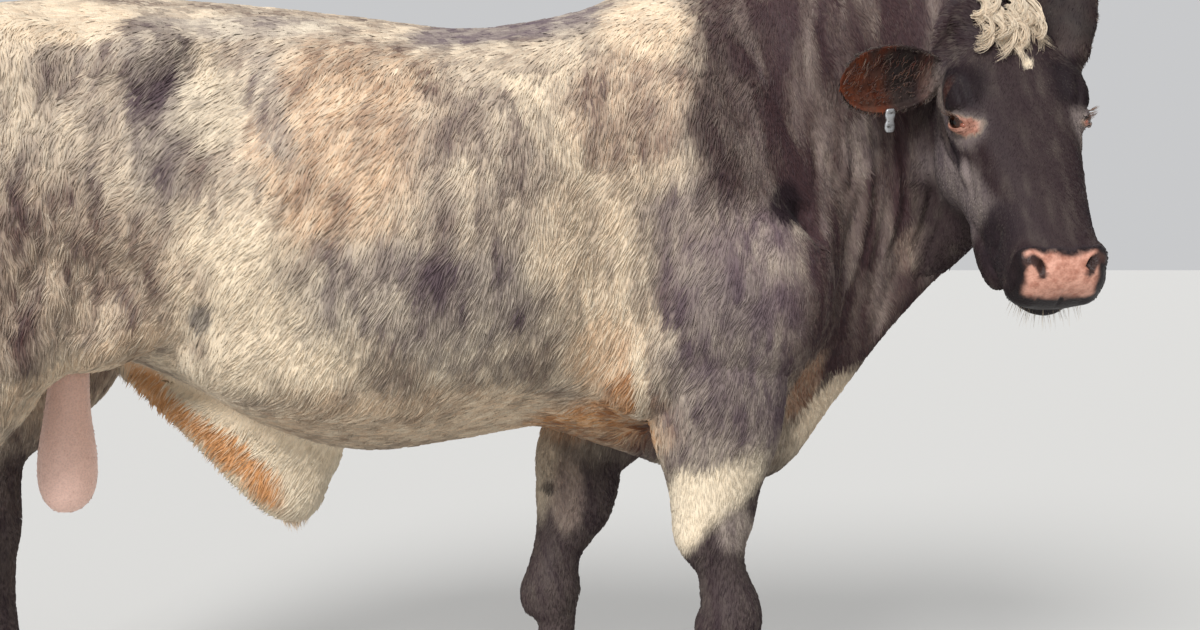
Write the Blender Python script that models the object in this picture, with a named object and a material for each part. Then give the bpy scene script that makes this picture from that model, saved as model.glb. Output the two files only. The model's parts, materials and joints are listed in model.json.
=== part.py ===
"""A beef shorthorn bull at life size, standing with its head turned to the right, as a still museum model.

The bull faces +X and its right side is at -Y. All sizes are in metres.
The flesh is built whole from lofts and ellipsoids, blended into one skin and parted by thin cuts.
The eyes, ears, claws, tail, scrotum and sheath are solids of their own that meet the flesh face to face.
"""

import math
import random

import bmesh
import bpy
import numpy as np
from mathutils import Euler, Matrix, Vector
from mathutils.bvhtree import BVHTree

# Driving heights and widths of the standing animal
WITHERS = 1.495
BACK = 1.408
HIPS = 1.465
BELLY = 0.632
GIRTH_FLOOR = 0.690
BARREL_HALF_WIDTH = 0.382

# The head's place: its poll, how far it is turned to the right, lowered and rolled, and its scale
POLL = Vector((0.700, -0.163, 1.411))
HEAD_TURN = math.radians(81.4)
HEAD_DROP = math.radians(51.8)
HEAD_ROLL = math.radians(3.3)
HEAD_SCALE = 1.03

# Where the middle of the animal's box stands, so that the model's origin is under it
CENTRE_X = -0.2947
CENTRE_Y = -0.0229

RIGHT, LEFT = -1, 1
SIDE_NAMES = {RIGHT: "right", LEFT: "left"}

# Meeting faces keep this gap
GAP = 0.0003

# The locks are strewn from this seed
SEED = 7

# Grain of the blended skin, and how many triangles the flesh and the head keep
TRUNK_VOXEL = 0.011
FLESH_VOXEL = 0.0075
SKULL_VOXEL = 0.0055
HEAD_VOXEL = 0.004
FLESH_TRIANGLES = 4200
HEAD_TRIANGLES = 2500


def clear_scene():
    """Removes every object."""
    for obj in list(bpy.data.objects):
        bpy.data.objects.remove(obj, do_unlink=True)


def link(name, mesh):
    """A new object in the scene that shows the mesh."""
    obj = bpy.data.objects.new(name, mesh)
    bpy.context.scene.collection.objects.link(obj)
    return obj


def keep_form(forms, bm):
    """Adds a finished closed form to the list, its faces pointing out."""
    bmesh.ops.recalc_face_normals(bm, faces=bm.faces)
    mesh = bpy.data.meshes.new("form")
    bm.to_mesh(mesh)
    bm.free()
    forms.append(mesh)


def object_of(forms, name):
    """Gathers the forms in one object."""
    bm = bmesh.new()
    for mesh in forms:
        bm.from_mesh(mesh)
        bpy.data.meshes.remove(mesh)
    mesh = bpy.data.meshes.new(name)
    bm.to_mesh(mesh)
    bm.free()
    return link(name, mesh)


def apply_modifiers(obj):
    """Replaces the object's mesh by what its modifiers make of it."""
    bpy.context.view_layer.update()
    graph = bpy.context.evaluated_depsgraph_get()
    mesh = bpy.data.meshes.new_from_object(obj.evaluated_get(graph), depsgraph=graph)
    obj.modifiers.clear()
    obj.data = mesh
    return obj


def remesh(obj, voxel, passes):
    """Blends all that overlaps into one skin and softens it."""
    blend = obj.modifiers.new("blend", "REMESH")
    blend.mode = "VOXEL"
    blend.voxel_size = voxel
    soften = obj.modifiers.new("soften", "SMOOTH")
    soften.factor = 0.5
    soften.iterations = passes
    return apply_modifiers(obj)


def decimate(obj, triangles):
    """Thins a skin to about this many triangles."""
    faces = sum(len(face.vertices) - 2 for face in obj.data.polygons)
    thin = obj.modifiers.new("thin", "DECIMATE")
    thin.ratio = triangles / faces
    return apply_modifiers(obj)


def triangulate(obj):
    """Splits the faces into triangles."""
    bm = bmesh.new()
    bm.from_mesh(obj.data)
    bmesh.ops.triangulate(bm, faces=bm.faces)
    bm.to_mesh(obj.data)
    bm.free()


def islands(bm):
    """The separate closed surfaces of a mesh, as lists of faces, largest first."""
    left = set(bm.faces)
    found = []
    while left:
        seed = left.pop()
        island = [seed]
        stack = [seed]
        while stack:
            face = stack.pop()
            for edge in face.edges:
                for other in edge.link_faces:
                    if other in left:
                        left.remove(other)
                        island.append(other)
                        stack.append(other)
        found.append(island)
    found.sort(key=lambda island: -sum(face.calc_area() for face in island))
    return found


def keep_largest(obj):
    """Leaves only the largest closed surface."""
    bm = bmesh.new()
    bm.from_mesh(obj.data)
    for island in islands(bm)[1:]:
        bmesh.ops.delete(bm, geom=island, context="FACES")
    bm.to_mesh(obj.data)
    bm.free()


def boolean(obj, tools, operation, solver="EXACT"):
    """Cuts or joins an object with closed tools, which are used up."""
    group = bpy.data.collections.new("tools")
    bpy.context.scene.collection.children.link(group)
    for tool in tools:
        group.objects.link(tool)
    change = obj.modifiers.new("change", "BOOLEAN")
    change.operation = operation
    change.operand_type = "COLLECTION"
    change.collection = group
    change.solver = solver
    apply_modifiers(obj)
    for tool in tools:
        bpy.data.objects.remove(tool, do_unlink=True)
    bpy.data.collections.remove(group)
    return obj


def grown(obj, by=GAP):
    """A copy of a solid that is larger all round by a gap."""
    bm = bmesh.new()
    bm.from_mesh(obj.data)
    bm.normal_update()
    moves = [(v, v.normal * by * min(v.calc_shell_factor(), 2.0)) for v in bm.verts]
    for v, move in moves:
        v.co += move
    mesh = bpy.data.meshes.new("grown")
    bm.to_mesh(mesh)
    bm.free()
    return link("grown", mesh)


def fit_onto(obj, parent):
    """Trims a solid by the one that it grows from, so that they meet face to face."""
    boolean(obj, [grown(parent)], "DIFFERENCE")
    keep_largest(obj)


def smooth_rows(rows, steps):
    """Rows of numbers joined by Catmull-Rom curves, with `steps` new rows in each span."""
    padded = [rows[0], *rows, rows[-1]]
    made = []
    for i in range(len(rows) - 1):
        columns = list(zip(*padded[i : i + 4]))
        for k in range(steps):
            t = k / steps
            row = []
            for p, q, r, s in columns:
                bend = (2 * p - 5 * q + 4 * r - s) * t**2 + (3 * q - p - 3 * r + s) * t**3
                row.append(0.5 * (2 * q + (r - p) * t + bend))
            made.append(row)
    made.append(list(rows[-1]))
    return made


def signed_power(value, power):
    return math.copysign(abs(value) ** power, value)


def egg_ring(sides, centre, side, up, across, above, below, power):
    """The points of an egg-shaped section: rounder than 1 is a smaller power, boxier than 1 a larger one."""
    ring = []
    for k in range(sides):
        angle = 2 * math.pi * k / sides
        c, s = math.cos(angle), math.sin(angle)
        rise = above if s > 0 else below
        ring.append(centre + side * (signed_power(c, power) * across) + up * (signed_power(s, power) * rise))
    return ring


def skin_over(forms, rings):
    """A closed form through rings of points, each extruded from the one before, with both ends filled."""
    bm = bmesh.new()
    verts = bmesh.ops.create_circle(bm, cap_ends=False, segments=len(rings[0]), radius=1.0)["verts"]
    edges = list({edge for v in verts for edge in v.link_edges})
    first = edges
    for v, place in zip(verts, rings[0]):
        v.co = place
    for ring in rings[1:]:
        made = bmesh.ops.extrude_edge_only(bm, edges=edges)["geom"]
        fresh = {g for g in made if isinstance(g, bmesh.types.BMVert)}
        follows = {edge.other_vert(v): v for v in fresh for edge in v.link_edges}
        verts = [follows[v] for v in verts]
        edges = [g for g in made if isinstance(g, bmesh.types.BMEdge) and fresh.issuperset(g.verts)]
        for v, place in zip(verts, ring):
            v.co = place
    bmesh.ops.edgeloop_fill(bm, edges=first)
    bmesh.ops.edgeloop_fill(bm, edges=edges)
    keep_form(forms, bm)


def loft(forms, stations, sides=28):
    """A closed form through egg-shaped sections: (centre, side, up, across, above, below, power)."""
    skin_over(forms, [egg_ring(sides, *station) for station in stations])


def directions(rows):
    """The unit direction of travel at each row, whose first three numbers are its place."""
    found = []
    for i in range(len(rows)):
        before = Vector(rows[max(i - 1, 0)][:3])
        after = Vector(rows[min(i + 1, len(rows) - 1)][:3])
        found.append((after - before).normalized())
    return found


def level_loft(forms, rows, steps=4, sides=32, power=0.92, y=0.0):
    """A form along X with upright sections: (x, half width, top, bottom, height of the widest part)."""
    stations = []
    for x, width, top, bottom, widest in smooth_rows(rows, steps):
        centre = Vector((x, y, widest))
        stations.append((centre, Vector((0, 1, 0)), Vector((0, 0, 1)), width, top - widest, widest - bottom, power))
    loft(forms, stations, sides)


def limb_loft(forms, rows, steps=4, sides=20):
    """A form down a limb: (x, y, z, half width, half depth in front, half depth behind)."""
    rows = smooth_rows(rows, steps)
    stations = []
    for row, along in zip(rows, directions(rows)):
        fore = Vector((0, 1, 0)).cross(along).normalized()
        if fore.x < 0:
            fore = -fore
        side = along.cross(fore).normalized()
        stations.append((Vector(row[:3]), side, fore, row[3], row[4], row[5], 1.0))
    loft(forms, stations, sides)


def keel_loft(forms, rows, steps=4, sides=24):
    """A form along a rising line with upright sections: (x, y, z, half width, above, below)."""
    rows = smooth_rows(rows, steps)
    stations = []
    for row, along in zip(rows, directions(rows)):
        along.z = 0
        side = Vector((0, 0, 1)).cross(along.normalized())
        stations.append((Vector(row[:3]), side, Vector((0, 0, 1)), row[3], row[4], row[5], 0.97))
    loft(forms, stations, sides)


def ellipsoid(forms, centre, radii, turn=(0, 0, 0), frame=None):
    """An ellipsoid with its radii along X, Y and Z before it is turned, by degrees about X, Y and Z."""
    bm = bmesh.new()
    euler = Euler([math.radians(angle) for angle in turn])
    matrix = Matrix.Translation(centre) @ euler.to_matrix().to_4x4() @ Matrix.Diagonal((*radii, 1.0))
    if frame is not None:
        matrix = frame @ matrix
    bmesh.ops.create_uvsphere(bm, u_segments=28, v_segments=18, radius=1.0, matrix=matrix)
    keep_form(forms, bm)


def both_sides(forms, centre, radii, turn=(0, 0, 0), frame=None):
    """An ellipsoid on the right and its mirror image on the left."""
    for side in (RIGHT, LEFT):
        place = Vector((centre[0], side * centre[1], centre[2]))
        turned = (side * turn[0], turn[1], side * turn[2])
        ellipsoid(forms, place, radii, turned, frame)


# The trunk, from the buttocks to the front of the chest
TRUNK = (
    (-1.345, 0.10, 1.300, 1.080, 1.190),  # buttocks
    (-1.290, 0.20, 1.395, 0.980, 1.180),  # tail head
    (-1.160, 0.27, HIPS - 0.020, 0.880, 1.160),  # rump
    (-0.960, 0.29, HIPS, 0.800, 1.140),  # hips
    (-0.780, 0.30, HIPS - 0.004, 0.745, 1.110),  # hook bones
    (-0.600, 0.34, HIPS - 0.018, 0.672, 1.040),  # loin
    (-0.430, BARREL_HALF_WIDTH, BACK + 0.020, BELLY, 1.000),  # paunch
    (-0.250, BARREL_HALF_WIDTH + 0.006, BACK, BELLY + 0.022, 1.000),  # middle of the back
    (-0.090, 0.352, BACK + 0.020, GIRTH_FLOOR - 0.010, 1.010),  # girth
    (0.060, 0.310, BACK + 0.062, GIRTH_FLOOR - 0.020, 1.020),  # behind the shoulder
    (0.200, 0.270, WITHERS, GIRTH_FLOOR - 0.020, 1.040),  # withers
    (0.330, 0.215, WITHERS + 0.010, 0.700, 1.060),  # shoulder points
    (0.440, 0.150, WITHERS - 0.050, 0.790, 1.080),  # front of the chest
)

# The neck, from deep in the chest up to the back of the skull
NECK = (
    (0.120, 0.000, 1.130, 0.230, 0.330, 0.300),
    (0.300, 0.000, 1.160, 0.208, 0.375, 0.330),
    (0.430, 0.000, 1.200, 0.170, 0.385, 0.340),
    (0.540, -0.004, 1.235, 0.134, 0.350, 0.315),
    (0.620, -0.026, 1.262, 0.114, 0.290, 0.280),
    (0.680, -0.062, 1.280, 0.104, 0.220, 0.235),
    (0.715, -0.100, 1.290, 0.090, 0.150, 0.180),
)

# The brisket and dewlap, a narrow keel from the girth up to the throat
DEWLAP = (
    (-0.170, 0.000, 0.740, 0.060, 0.060, 0.050),
    (0.020, 0.000, 0.715, 0.085, 0.080, 0.085),
    (0.200, 0.000, 0.700, 0.098, 0.100, 0.128),
    (0.330, -0.002, 0.735, 0.088, 0.100, 0.154),
    (0.430, -0.006, 0.840, 0.070, 0.110, 0.138),
    (0.520, -0.016, 0.945, 0.055, 0.110, 0.120),
    (0.600, -0.040, 1.040, 0.054, 0.110, 0.118),
    (0.655, -0.070, 1.095, 0.056, 0.100, 0.114),
    (0.700, -0.100, 1.135, 0.054, 0.080, 0.098),
    (0.735, -0.125, 1.160, 0.044, 0.050, 0.060),
)

# The legs, from inside the body down to the claws: (x, y, z, half width, in front, behind)
FORE_RIGHT = (
    (0.200, 0.200, 0.900, 0.085, 0.150, 0.140),  # upper arm
    (0.204, 0.205, 0.780, 0.082, 0.128, 0.135),  # elbow
    (0.205, 0.196, 0.690, 0.074, 0.116, 0.122),  # forearm
    (0.202, 0.188, 0.600, 0.065, 0.084, 0.088),
    (0.200, 0.183, 0.545, 0.058, 0.075, 0.077),
    (0.200, 0.180, 0.500, 0.051, 0.067, 0.070),
    (0.213, 0.178, 0.450, 0.042, 0.045, 0.047),  # above the knee
    (0.221, 0.177, 0.415, 0.044, 0.047, 0.048),
    (0.230, 0.176, 0.378, 0.052, 0.054, 0.054),
    (0.232, 0.176, 0.348, 0.054, 0.056, 0.058),  # knee
    (0.230, 0.176, 0.310, 0.048, 0.046, 0.052),
    (0.228, 0.176, 0.276, 0.037, 0.037, 0.041),  # cannon
    (0.228, 0.176, 0.228, 0.036, 0.035, 0.040),
    (0.229, 0.176, 0.186, 0.042, 0.040, 0.045),
    (0.232, 0.176, 0.150, 0.052, 0.047, 0.052),  # fetlock
    (0.247, 0.176, 0.114, 0.049, 0.043, 0.048),  # pastern
    (0.260, 0.176, 0.086, 0.062, 0.054, 0.054),  # coronet
    (0.264, 0.176, 0.054, 0.058, 0.052, 0.050),
)
FORE_LEFT = (
    (0.150, 0.200, 0.900, 0.085, 0.150, 0.130),
    (0.100, 0.205, 0.780, 0.082, 0.128, 0.128),
    (0.020, 0.190, 0.690, 0.076, 0.120, 0.118),
    (-0.038, 0.172, 0.600, 0.066, 0.092, 0.090),
    (-0.044, 0.160, 0.545, 0.060, 0.084, 0.084),
    (-0.053, 0.152, 0.495, 0.054, 0.077, 0.078),
    (-0.068, 0.148, 0.452, 0.046, 0.060, 0.062),
    (-0.082, 0.146, 0.414, 0.042, 0.049, 0.050),
    (-0.090, 0.145, 0.376, 0.048, 0.050, 0.052),
    (-0.093, 0.145, 0.336, 0.054, 0.056, 0.060),
    (-0.090, 0.145, 0.300, 0.048, 0.048, 0.052),
    (-0.084, 0.145, 0.268, 0.037, 0.037, 0.041),
    (-0.084, 0.145, 0.222, 0.036, 0.035, 0.040),
    (-0.085, 0.145, 0.182, 0.042, 0.040, 0.045),
    (-0.084, 0.145, 0.148, 0.052, 0.047, 0.052),
    (-0.070, 0.145, 0.113, 0.049, 0.043, 0.048),
    (-0.057, 0.145, 0.086, 0.062, 0.054, 0.054),
    (-0.053, 0.145, 0.054, 0.058, 0.052, 0.050),
)
HIND_RIGHT = (
    (-1.060, 0.200, 1.080, 0.120, 0.210, 0.200),  # thigh
    (-1.085, 0.215, 0.900, 0.110, 0.180, 0.190),
    (-1.130, 0.215, 0.780, 0.095, 0.150, 0.140),  # stifle
    (-1.200, 0.205, 0.680, 0.080, 0.112, 0.095),
    (-1.285, 0.192, 0.590, 0.058, 0.075, 0.072),  # gaskin
    (-1.345, 0.184, 0.530, 0.048, 0.062, 0.068),
    (-1.372, 0.180, 0.480, 0.050, 0.062, 0.066),  # hock
    (-1.376, 0.178, 0.430, 0.048, 0.056, 0.056),
    (-1.376, 0.177, 0.380, 0.038, 0.042, 0.044),  # cannon
    (-1.374, 0.176, 0.290, 0.034, 0.036, 0.040),
    (-1.372, 0.176, 0.210, 0.040, 0.040, 0.044),
    (-1.368, 0.176, 0.165, 0.050, 0.047, 0.052),  # fetlock
    (-1.350, 0.176, 0.122, 0.046, 0.042, 0.046),
    (-1.336, 0.176, 0.086, 0.060, 0.053, 0.052),  # coronet
    (-1.332, 0.176, 0.054, 0.056, 0.051, 0.048),
)
HIND_LEFT = (
    (-1.050, 0.200, 1.080, 0.120, 0.210, 0.200),
    (-1.070, 0.215, 0.900, 0.110, 0.170, 0.190),
    (-1.105, 0.215, 0.780, 0.095, 0.140, 0.140),
    (-1.160, 0.205, 0.690, 0.080, 0.100, 0.100),
    (-1.205, 0.192, 0.610, 0.058, 0.072, 0.078),
    (-1.215, 0.184, 0.545, 0.048, 0.066, 0.072),
    (-1.212, 0.180, 0.480, 0.050, 0.064, 0.066),
    (-1.208, 0.178, 0.430, 0.048, 0.058, 0.056),
    (-1.204, 0.177, 0.380, 0.038, 0.044, 0.044),
    (-1.198, 0.176, 0.290, 0.034, 0.036, 0.040),
    (-1.192, 0.176, 0.210, 0.040, 0.040, 0.044),
    (-1.186, 0.176, 0.165, 0.050, 0.047, 0.052),
    (-1.168, 0.176, 0.122, 0.046, 0.042, 0.046),
    (-1.154, 0.176, 0.086, 0.060, 0.053, 0.052),
    (-1.150, 0.176, 0.054, 0.056, 0.051, 0.048),
)
LEGS = {
    "foreleg_right": (RIGHT, FORE_RIGHT),
    "foreleg_left": (LEFT, FORE_LEFT),
    "hindleg_right": (RIGHT, HIND_RIGHT),
    "hindleg_left": (LEFT, HIND_LEFT),
}


def trunk_forms(forms):
    """Trunk, neck, brisket and the masses of muscle and bone that shape the outline."""
    level_loft(forms, TRUNK)
    keel_loft(forms, NECK, sides=32)
    keel_loft(forms, DEWLAP, sides=20)
    both_sides(forms, (0.150, 0.185, 1.130), (0.150, 0.110, 0.300), (8, -16, 0))  # shoulder blade
    both_sides(forms, (0.225, 0.205, 0.940), (0.190, 0.115, 0.190), (0, 20, 0))  # upper arm
    both_sides(forms, (0.305, 0.150, 0.990), (0.120, 0.095, 0.140))  # point of the shoulder
    both_sides(forms, (0.080, 0.205, 0.830), (0.120, 0.090, 0.130), (0, -30, 0))  # elbow muscle
    both_sides(forms, (-1.060, 0.185, 1.060), (0.240, 0.130, 0.290), (0, 8, 0))  # thigh
    both_sides(forms, (-1.210, 0.130, 1.020), (0.130, 0.120, 0.260), (0, 6, 0))  # buttock
    both_sides(forms, (-1.010, 0.150, 1.280), (0.280, 0.130, 0.150), (0, 6, 0))  # rump muscle
    both_sides(forms, (-0.775, 0.190, 1.320), (0.130, 0.090, 0.088))  # hook bone
    both_sides(forms, (-1.285, 0.105, 1.260), (0.070, 0.060, 0.070))  # pin bone
    both_sides(forms, (-0.970, 0.225, 0.870), (0.120, 0.085, 0.160), (0, -20, 0))  # stifle
    both_sides(forms, (-0.860, 0.205, 0.905), (0.160, 0.060, 0.110), (0, -24, 0))  # flank fold
    both_sides(forms, (-0.400, 0.165, 0.870), (0.360, 0.180, 0.200))  # lower barrel
    ellipsoid(forms, (0.440, -0.004, 1.420), (0.310, 0.110, 0.135), (0, -6, 0))  # crest of the neck
    ellipsoid(forms, (0.130, 0.000, 1.390), (0.180, 0.100, 0.100))  # withers
    both_sides(forms, (-0.010, 0.130, 0.765), (0.180, 0.085, 0.080))  # chest floor behind the elbows


def leg_forms(forms):
    """The four legs, with the bone behind each knee and the point of each hock."""
    for name, (side, rows) in LEGS.items():
        limb_loft(forms, [(row[0], side * row[1], *row[2:]) for row in rows])
        if name.startswith("fore"):
            knee = rows[9]
            place = (knee[0] - 0.050, side * knee[1], knee[2] + 0.020)
            ellipsoid(forms, place, (0.024, 0.026, 0.030))
        else:
            hock = rows[5]
            place = (hock[0] - 0.060, side * hock[1], hock[2] + 0.008)
            ellipsoid(forms, place, (0.028, 0.026, 0.062), (0, 10, 0))


def head_frame():
    """From the head's own axes, X down the face, Y to its left and Z out of the forehead, to the world."""
    level = math.cos(HEAD_DROP)
    face = Vector((math.cos(HEAD_TURN) * level, -math.sin(HEAD_TURN) * level, -math.sin(HEAD_DROP)))
    left = Vector((math.sin(HEAD_TURN), math.cos(HEAD_TURN), 0))
    out = face.cross(left)
    rolled = left * math.cos(HEAD_ROLL) + out * math.sin(HEAD_ROLL)
    matrix = Matrix((face, rolled, face.cross(rolled))).transposed().to_4x4()
    return Matrix.Translation(POLL) @ matrix @ Matrix.Scale(HEAD_SCALE, 4)


# The head in its own axes: (x, half width, top, bottom, height of the widest part)
SKULL = (
    (-0.050, 0.050, -0.040, -0.130, -0.080),  # back of the poll
    (-0.025, 0.086, -0.012, -0.165, -0.080),
    (0.030, 0.108, 0.004, -0.215, -0.080),  # forehead
    (0.100, 0.117, 0.003, -0.245, -0.082),
    (0.170, 0.115, -0.007, -0.252, -0.085),  # eyes
    (0.235, 0.103, -0.016, -0.242, -0.098),
    (0.300, 0.091, -0.022, -0.228, -0.108),  # cheeks
    (0.360, 0.083, -0.026, -0.212, -0.114),  # bridge of the nose
    (0.410, 0.079, -0.030, -0.194, -0.112),
    (0.450, 0.081, -0.034, -0.178, -0.106),  # muzzle
    (0.485, 0.078, -0.044, -0.164, -0.102),
    (0.503, 0.064, -0.060, -0.146, -0.100),
    (0.510, 0.040, -0.076, -0.124, -0.100),
)
SKULL_POWER = 0.78
EYE_PLACE = (0.186, 0.099, -0.052)
EYE_RADIUS = 0.0205
EYE_OUT = (0.22, 0.94, 0.26)
EYE_ALONG = (0.74, -0.30, 0.46)


def eye_axes(side):
    """The middle of an eye, the way it looks, the line of its lids and the way its upper lid lies."""
    frame = head_frame()
    turn = frame.to_3x3().normalized()
    middle = frame @ Vector((EYE_PLACE[0], side * EYE_PLACE[1], EYE_PLACE[2]))
    out = (turn @ Vector((EYE_OUT[0], side * EYE_OUT[1], EYE_OUT[2]))).normalized()
    along = turn @ Vector((EYE_ALONG[0], side * EYE_ALONG[1], EYE_ALONG[2]))
    along = (along - out * along.dot(out)).normalized()
    brow = out.cross(along)
    if brow.dot(turn.col[2]) < 0:
        brow = -brow
    return middle, out, along, brow


def lid_line(side, half_length, half_height, sphere, steps, bulge=0.0):
    """A closed almond line round the eye, on a sphere about its middle."""
    middle, out, along, brow = eye_axes(side)
    line = []
    for k in range(steps):
        angle = 2 * math.pi * k / steps
        over = signed_power(math.sin(angle), 1.25) * half_height + bulge
        flat = along * (math.cos(angle) * half_length) + brow * over
        depth = math.sqrt(max(sphere**2 - flat.length_squared, (0.35 * sphere) ** 2))
        line.append(middle + flat + out * depth)
    return line


def tube_ring(forms, line, radius, sides=8):
    """A closed tube round a closed line of points."""
    rings = []
    count = len(line)
    middle = sum(line, Vector()) / count
    for k in range(count):
        along = (line[(k + 1) % count] - line[k - 1]).normalized()
        away = line[k] - middle
        away = (away - along * away.dot(along)).normalized()
        rings.append(egg_ring(sides, line[k], away, along.cross(away), radius, radius, radius, 1.0))
    half = count // 2
    skin_over(forms, rings[: half + 2])
    skin_over(forms, rings[half:] + rings[:2])


def skull_forms(forms):
    """The skull's loft with its brows, cheeks, poll and the roots of the ears."""
    frame = head_frame()
    turn = frame.to_3x3()
    stations = []
    for x, width, top, bottom, widest in smooth_rows(SKULL, 3):
        centre = frame @ Vector((x, 0, widest))
        side, out = turn.col[1].copy(), turn.col[2].copy()
        stations.append((centre, side, out, width, top - widest, widest - bottom, SKULL_POWER))
    loft(forms, stations, 32)
    both_sides(forms, (0.135, 0.086, -0.038), (0.062, 0.038, 0.032), (0, 8, 8), frame)  # brow
    both_sides(forms, (0.222, 0.082, -0.098), (0.060, 0.022, 0.020), (0, 6, 12), frame)  # rim below the eye
    both_sides(forms, (0.160, 0.070, -0.170), (0.100, 0.044, 0.085), (0, -14, 0), frame)  # cheek muscle
    both_sides(forms, (0.325, 0.052, -0.160), (0.120, 0.036, 0.044), (0, 8, 6), frame)  # jaw
    ellipsoid(forms, (-0.004, 0, -0.018), (0.052, 0.086, 0.036), (0, 0, 0), frame)  # poll
    both_sides(forms, (0.058, 0.098, -0.066), (0.040, 0.034, 0.040), (0, 0, 0), frame)  # root of the ear


def face_forms(forms):
    """Nostrils' wings, lips and lids."""
    frame = head_frame()
    both_sides(forms, (0.460, 0.046, -0.070), (0.036, 0.032, 0.032), (0, 0, -8), frame)  # wing of the nostril
    both_sides(forms, (0.470, 0.042, -0.120), (0.040, 0.038, 0.030), (0, 0, -10), frame)  # upper lip
    ellipsoid(forms, (0.440, 0, -0.167), (0.056, 0.054, 0.022), (0, 4, 0), frame)  # lower lip and chin
    for side in (RIGHT, LEFT):
        tube_ring(forms, lid_line(side, 0.0250, 0.0125, EYE_RADIUS + 0.004, 24), 0.0050)


def nearest_reach(spots, line):
    """How far each spot is from a line of points."""
    reach = np.full(len(spots), 9.0)
    for start, end in zip(line[:-1], line[1:]):
        run = end - start
        share = np.clip((spots - start) @ run / (run @ run), 0.0, 1.0)
        off = spots - (start + share[:, None] * run)
        reach = np.minimum(reach, np.linalg.norm(off, axis=1))
    return reach


def press(obj, folds):
    """Presses soft furrows into a skin. Each fold is (places near the skin, half width, depth)."""
    mesh = obj.data
    count = len(mesh.vertices)
    spots = np.empty(count * 3)
    normals = np.empty(count * 3)
    mesh.vertices.foreach_get("co", spots)
    mesh.vertices.foreach_get("normal", normals)
    spots = spots.reshape(-1, 3)
    normals = normals.reshape(-1, 3)
    bm = bmesh.new()
    bm.from_mesh(mesh)
    tree = BVHTree.FromBMesh(bm)
    bm.free()
    moved = spots.copy()
    for places, half_width, depth in folds:
        line = [tree.find_nearest(Vector(place))[0] for place in smooth_rows(places, 5)]
        reach = nearest_reach(spots, np.array(line))
        moved -= normals * (depth * np.exp(-((reach / half_width) ** 2)))[:, None]
    mesh.vertices.foreach_set("co", moved.ravel())
    mesh.update()


# Furrows of the trunk and neck on the right side: (x, z), half width, depth
TRUNK_FOLDS = (
    (((-0.64, 1.38), (-0.60, 1.28), (-0.555, 1.16)), 0.055, 0.020),  # hollow of the flank
    (((-0.80, 1.02), (-0.84, 0.92), (-0.90, 0.84)), 0.045, 0.010),  # edge of the thigh
    (((0.26, 1.44), (0.33, 1.28), (0.39, 1.14)), 0.030, 0.012),  # neck fold before the shoulder
    (((0.345, 1.10), (0.362, 1.06), (0.395, 1.03)), 0.030, 0.018),  # hollow at the shoulder's point
    (((-0.02, 1.22), (0.00, 1.05), (0.03, 0.90)), 0.050, 0.008),  # behind the shoulder
)


def trunk_folds():
    """The furrows of the trunk on both sides, laid out to where the skin is."""
    folds = []
    for line, half_width, depth in TRUNK_FOLDS:
        for side in (RIGHT, LEFT):
            folds.append(([(x, side * 0.36, z) for x, z in line], half_width, depth))
    return folds


# Furrows of the head in its own axes: places, half width, depth
HEAD_FOLDS = (
    (((0.498, 0.020, -0.140), (0.480, 0.056, -0.140), (0.440, 0.074, -0.142), (0.395, 0.076, -0.150)), 0.006, 0.009),
    (((0.494, 0.036, -0.062), (0.484, 0.048, -0.062), (0.476, 0.052, -0.074)), 0.008, 0.016),
    (((0.235, 0.100, -0.050), (0.290, 0.080, -0.058)), 0.014, 0.004),
)


def head_folds():
    """The line of the mouth, the nostrils and the hollow before each eye."""
    frame = head_frame()
    folds = []
    for line, half_width, depth in HEAD_FOLDS:
        for side in (RIGHT, LEFT):
            folds.append(([tuple(frame @ Vector((x, side * y, z))) for x, y, z in line], half_width, depth))
    return folds


# Where the skin is parted: a place on the cut and the way out of the trunk
HEAD_CUT = (Vector((0.632, -0.050, 1.270)), Vector((0.72, -0.68, -0.12)))
NECK_CUT = (Vector((0.385, 0.0, 1.100)), Vector((0.975, 0.0, 0.222)))
LEG_TOPS = {"fore": (0.665, 0.098), "hind": (0.735, 0.075)}
LEG_REACH = {"fore": 0.30, "hind": 0.36}


def box_between(name, low, high, matrix=None):
    """A box with these corners, turned and moved by a matrix."""
    bm = bmesh.new()
    bmesh.ops.create_cube(bm, size=1.0)
    low, high = Vector(low), Vector(high)
    for v in bm.verts:
        for axis in range(3):
            v.co[axis] = high[axis] if v.co[axis] > 0 else low[axis]
    if matrix is not None:
        bm.transform(matrix)
    mesh = bpy.data.meshes.new(name)
    bm.to_mesh(mesh)
    bm.free()
    return link(name, mesh)


def beyond(name, place, way, inset=0.0, size=1.6):
    """A block that fills all beyond a slanting cut."""
    way = way.normalized()
    turn = way.to_track_quat("X", "Z").to_matrix().to_4x4()
    matrix = Matrix.Translation(place) @ turn
    return box_between(name, (inset, -size, -size), (2 * size, size, size), matrix)


def copy_of(obj, name):
    """A copy with a mesh of its own."""
    return link(name, obj.data.copy())


def leg_block(name, side, rows, inset=0.0):
    """A block round one leg below its top."""
    kind = name[:4]
    top, inner = LEG_TOPS[kind]
    reach = LEG_REACH[kind]
    middle = rows[6][0]
    low = [middle - reach, inner + inset, -0.2]
    high = [middle + reach, 0.6, top - inset]
    if side == RIGHT:
        low[1], high[1] = -high[1], -low[1]
    return box_between(name, low, high)


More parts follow.
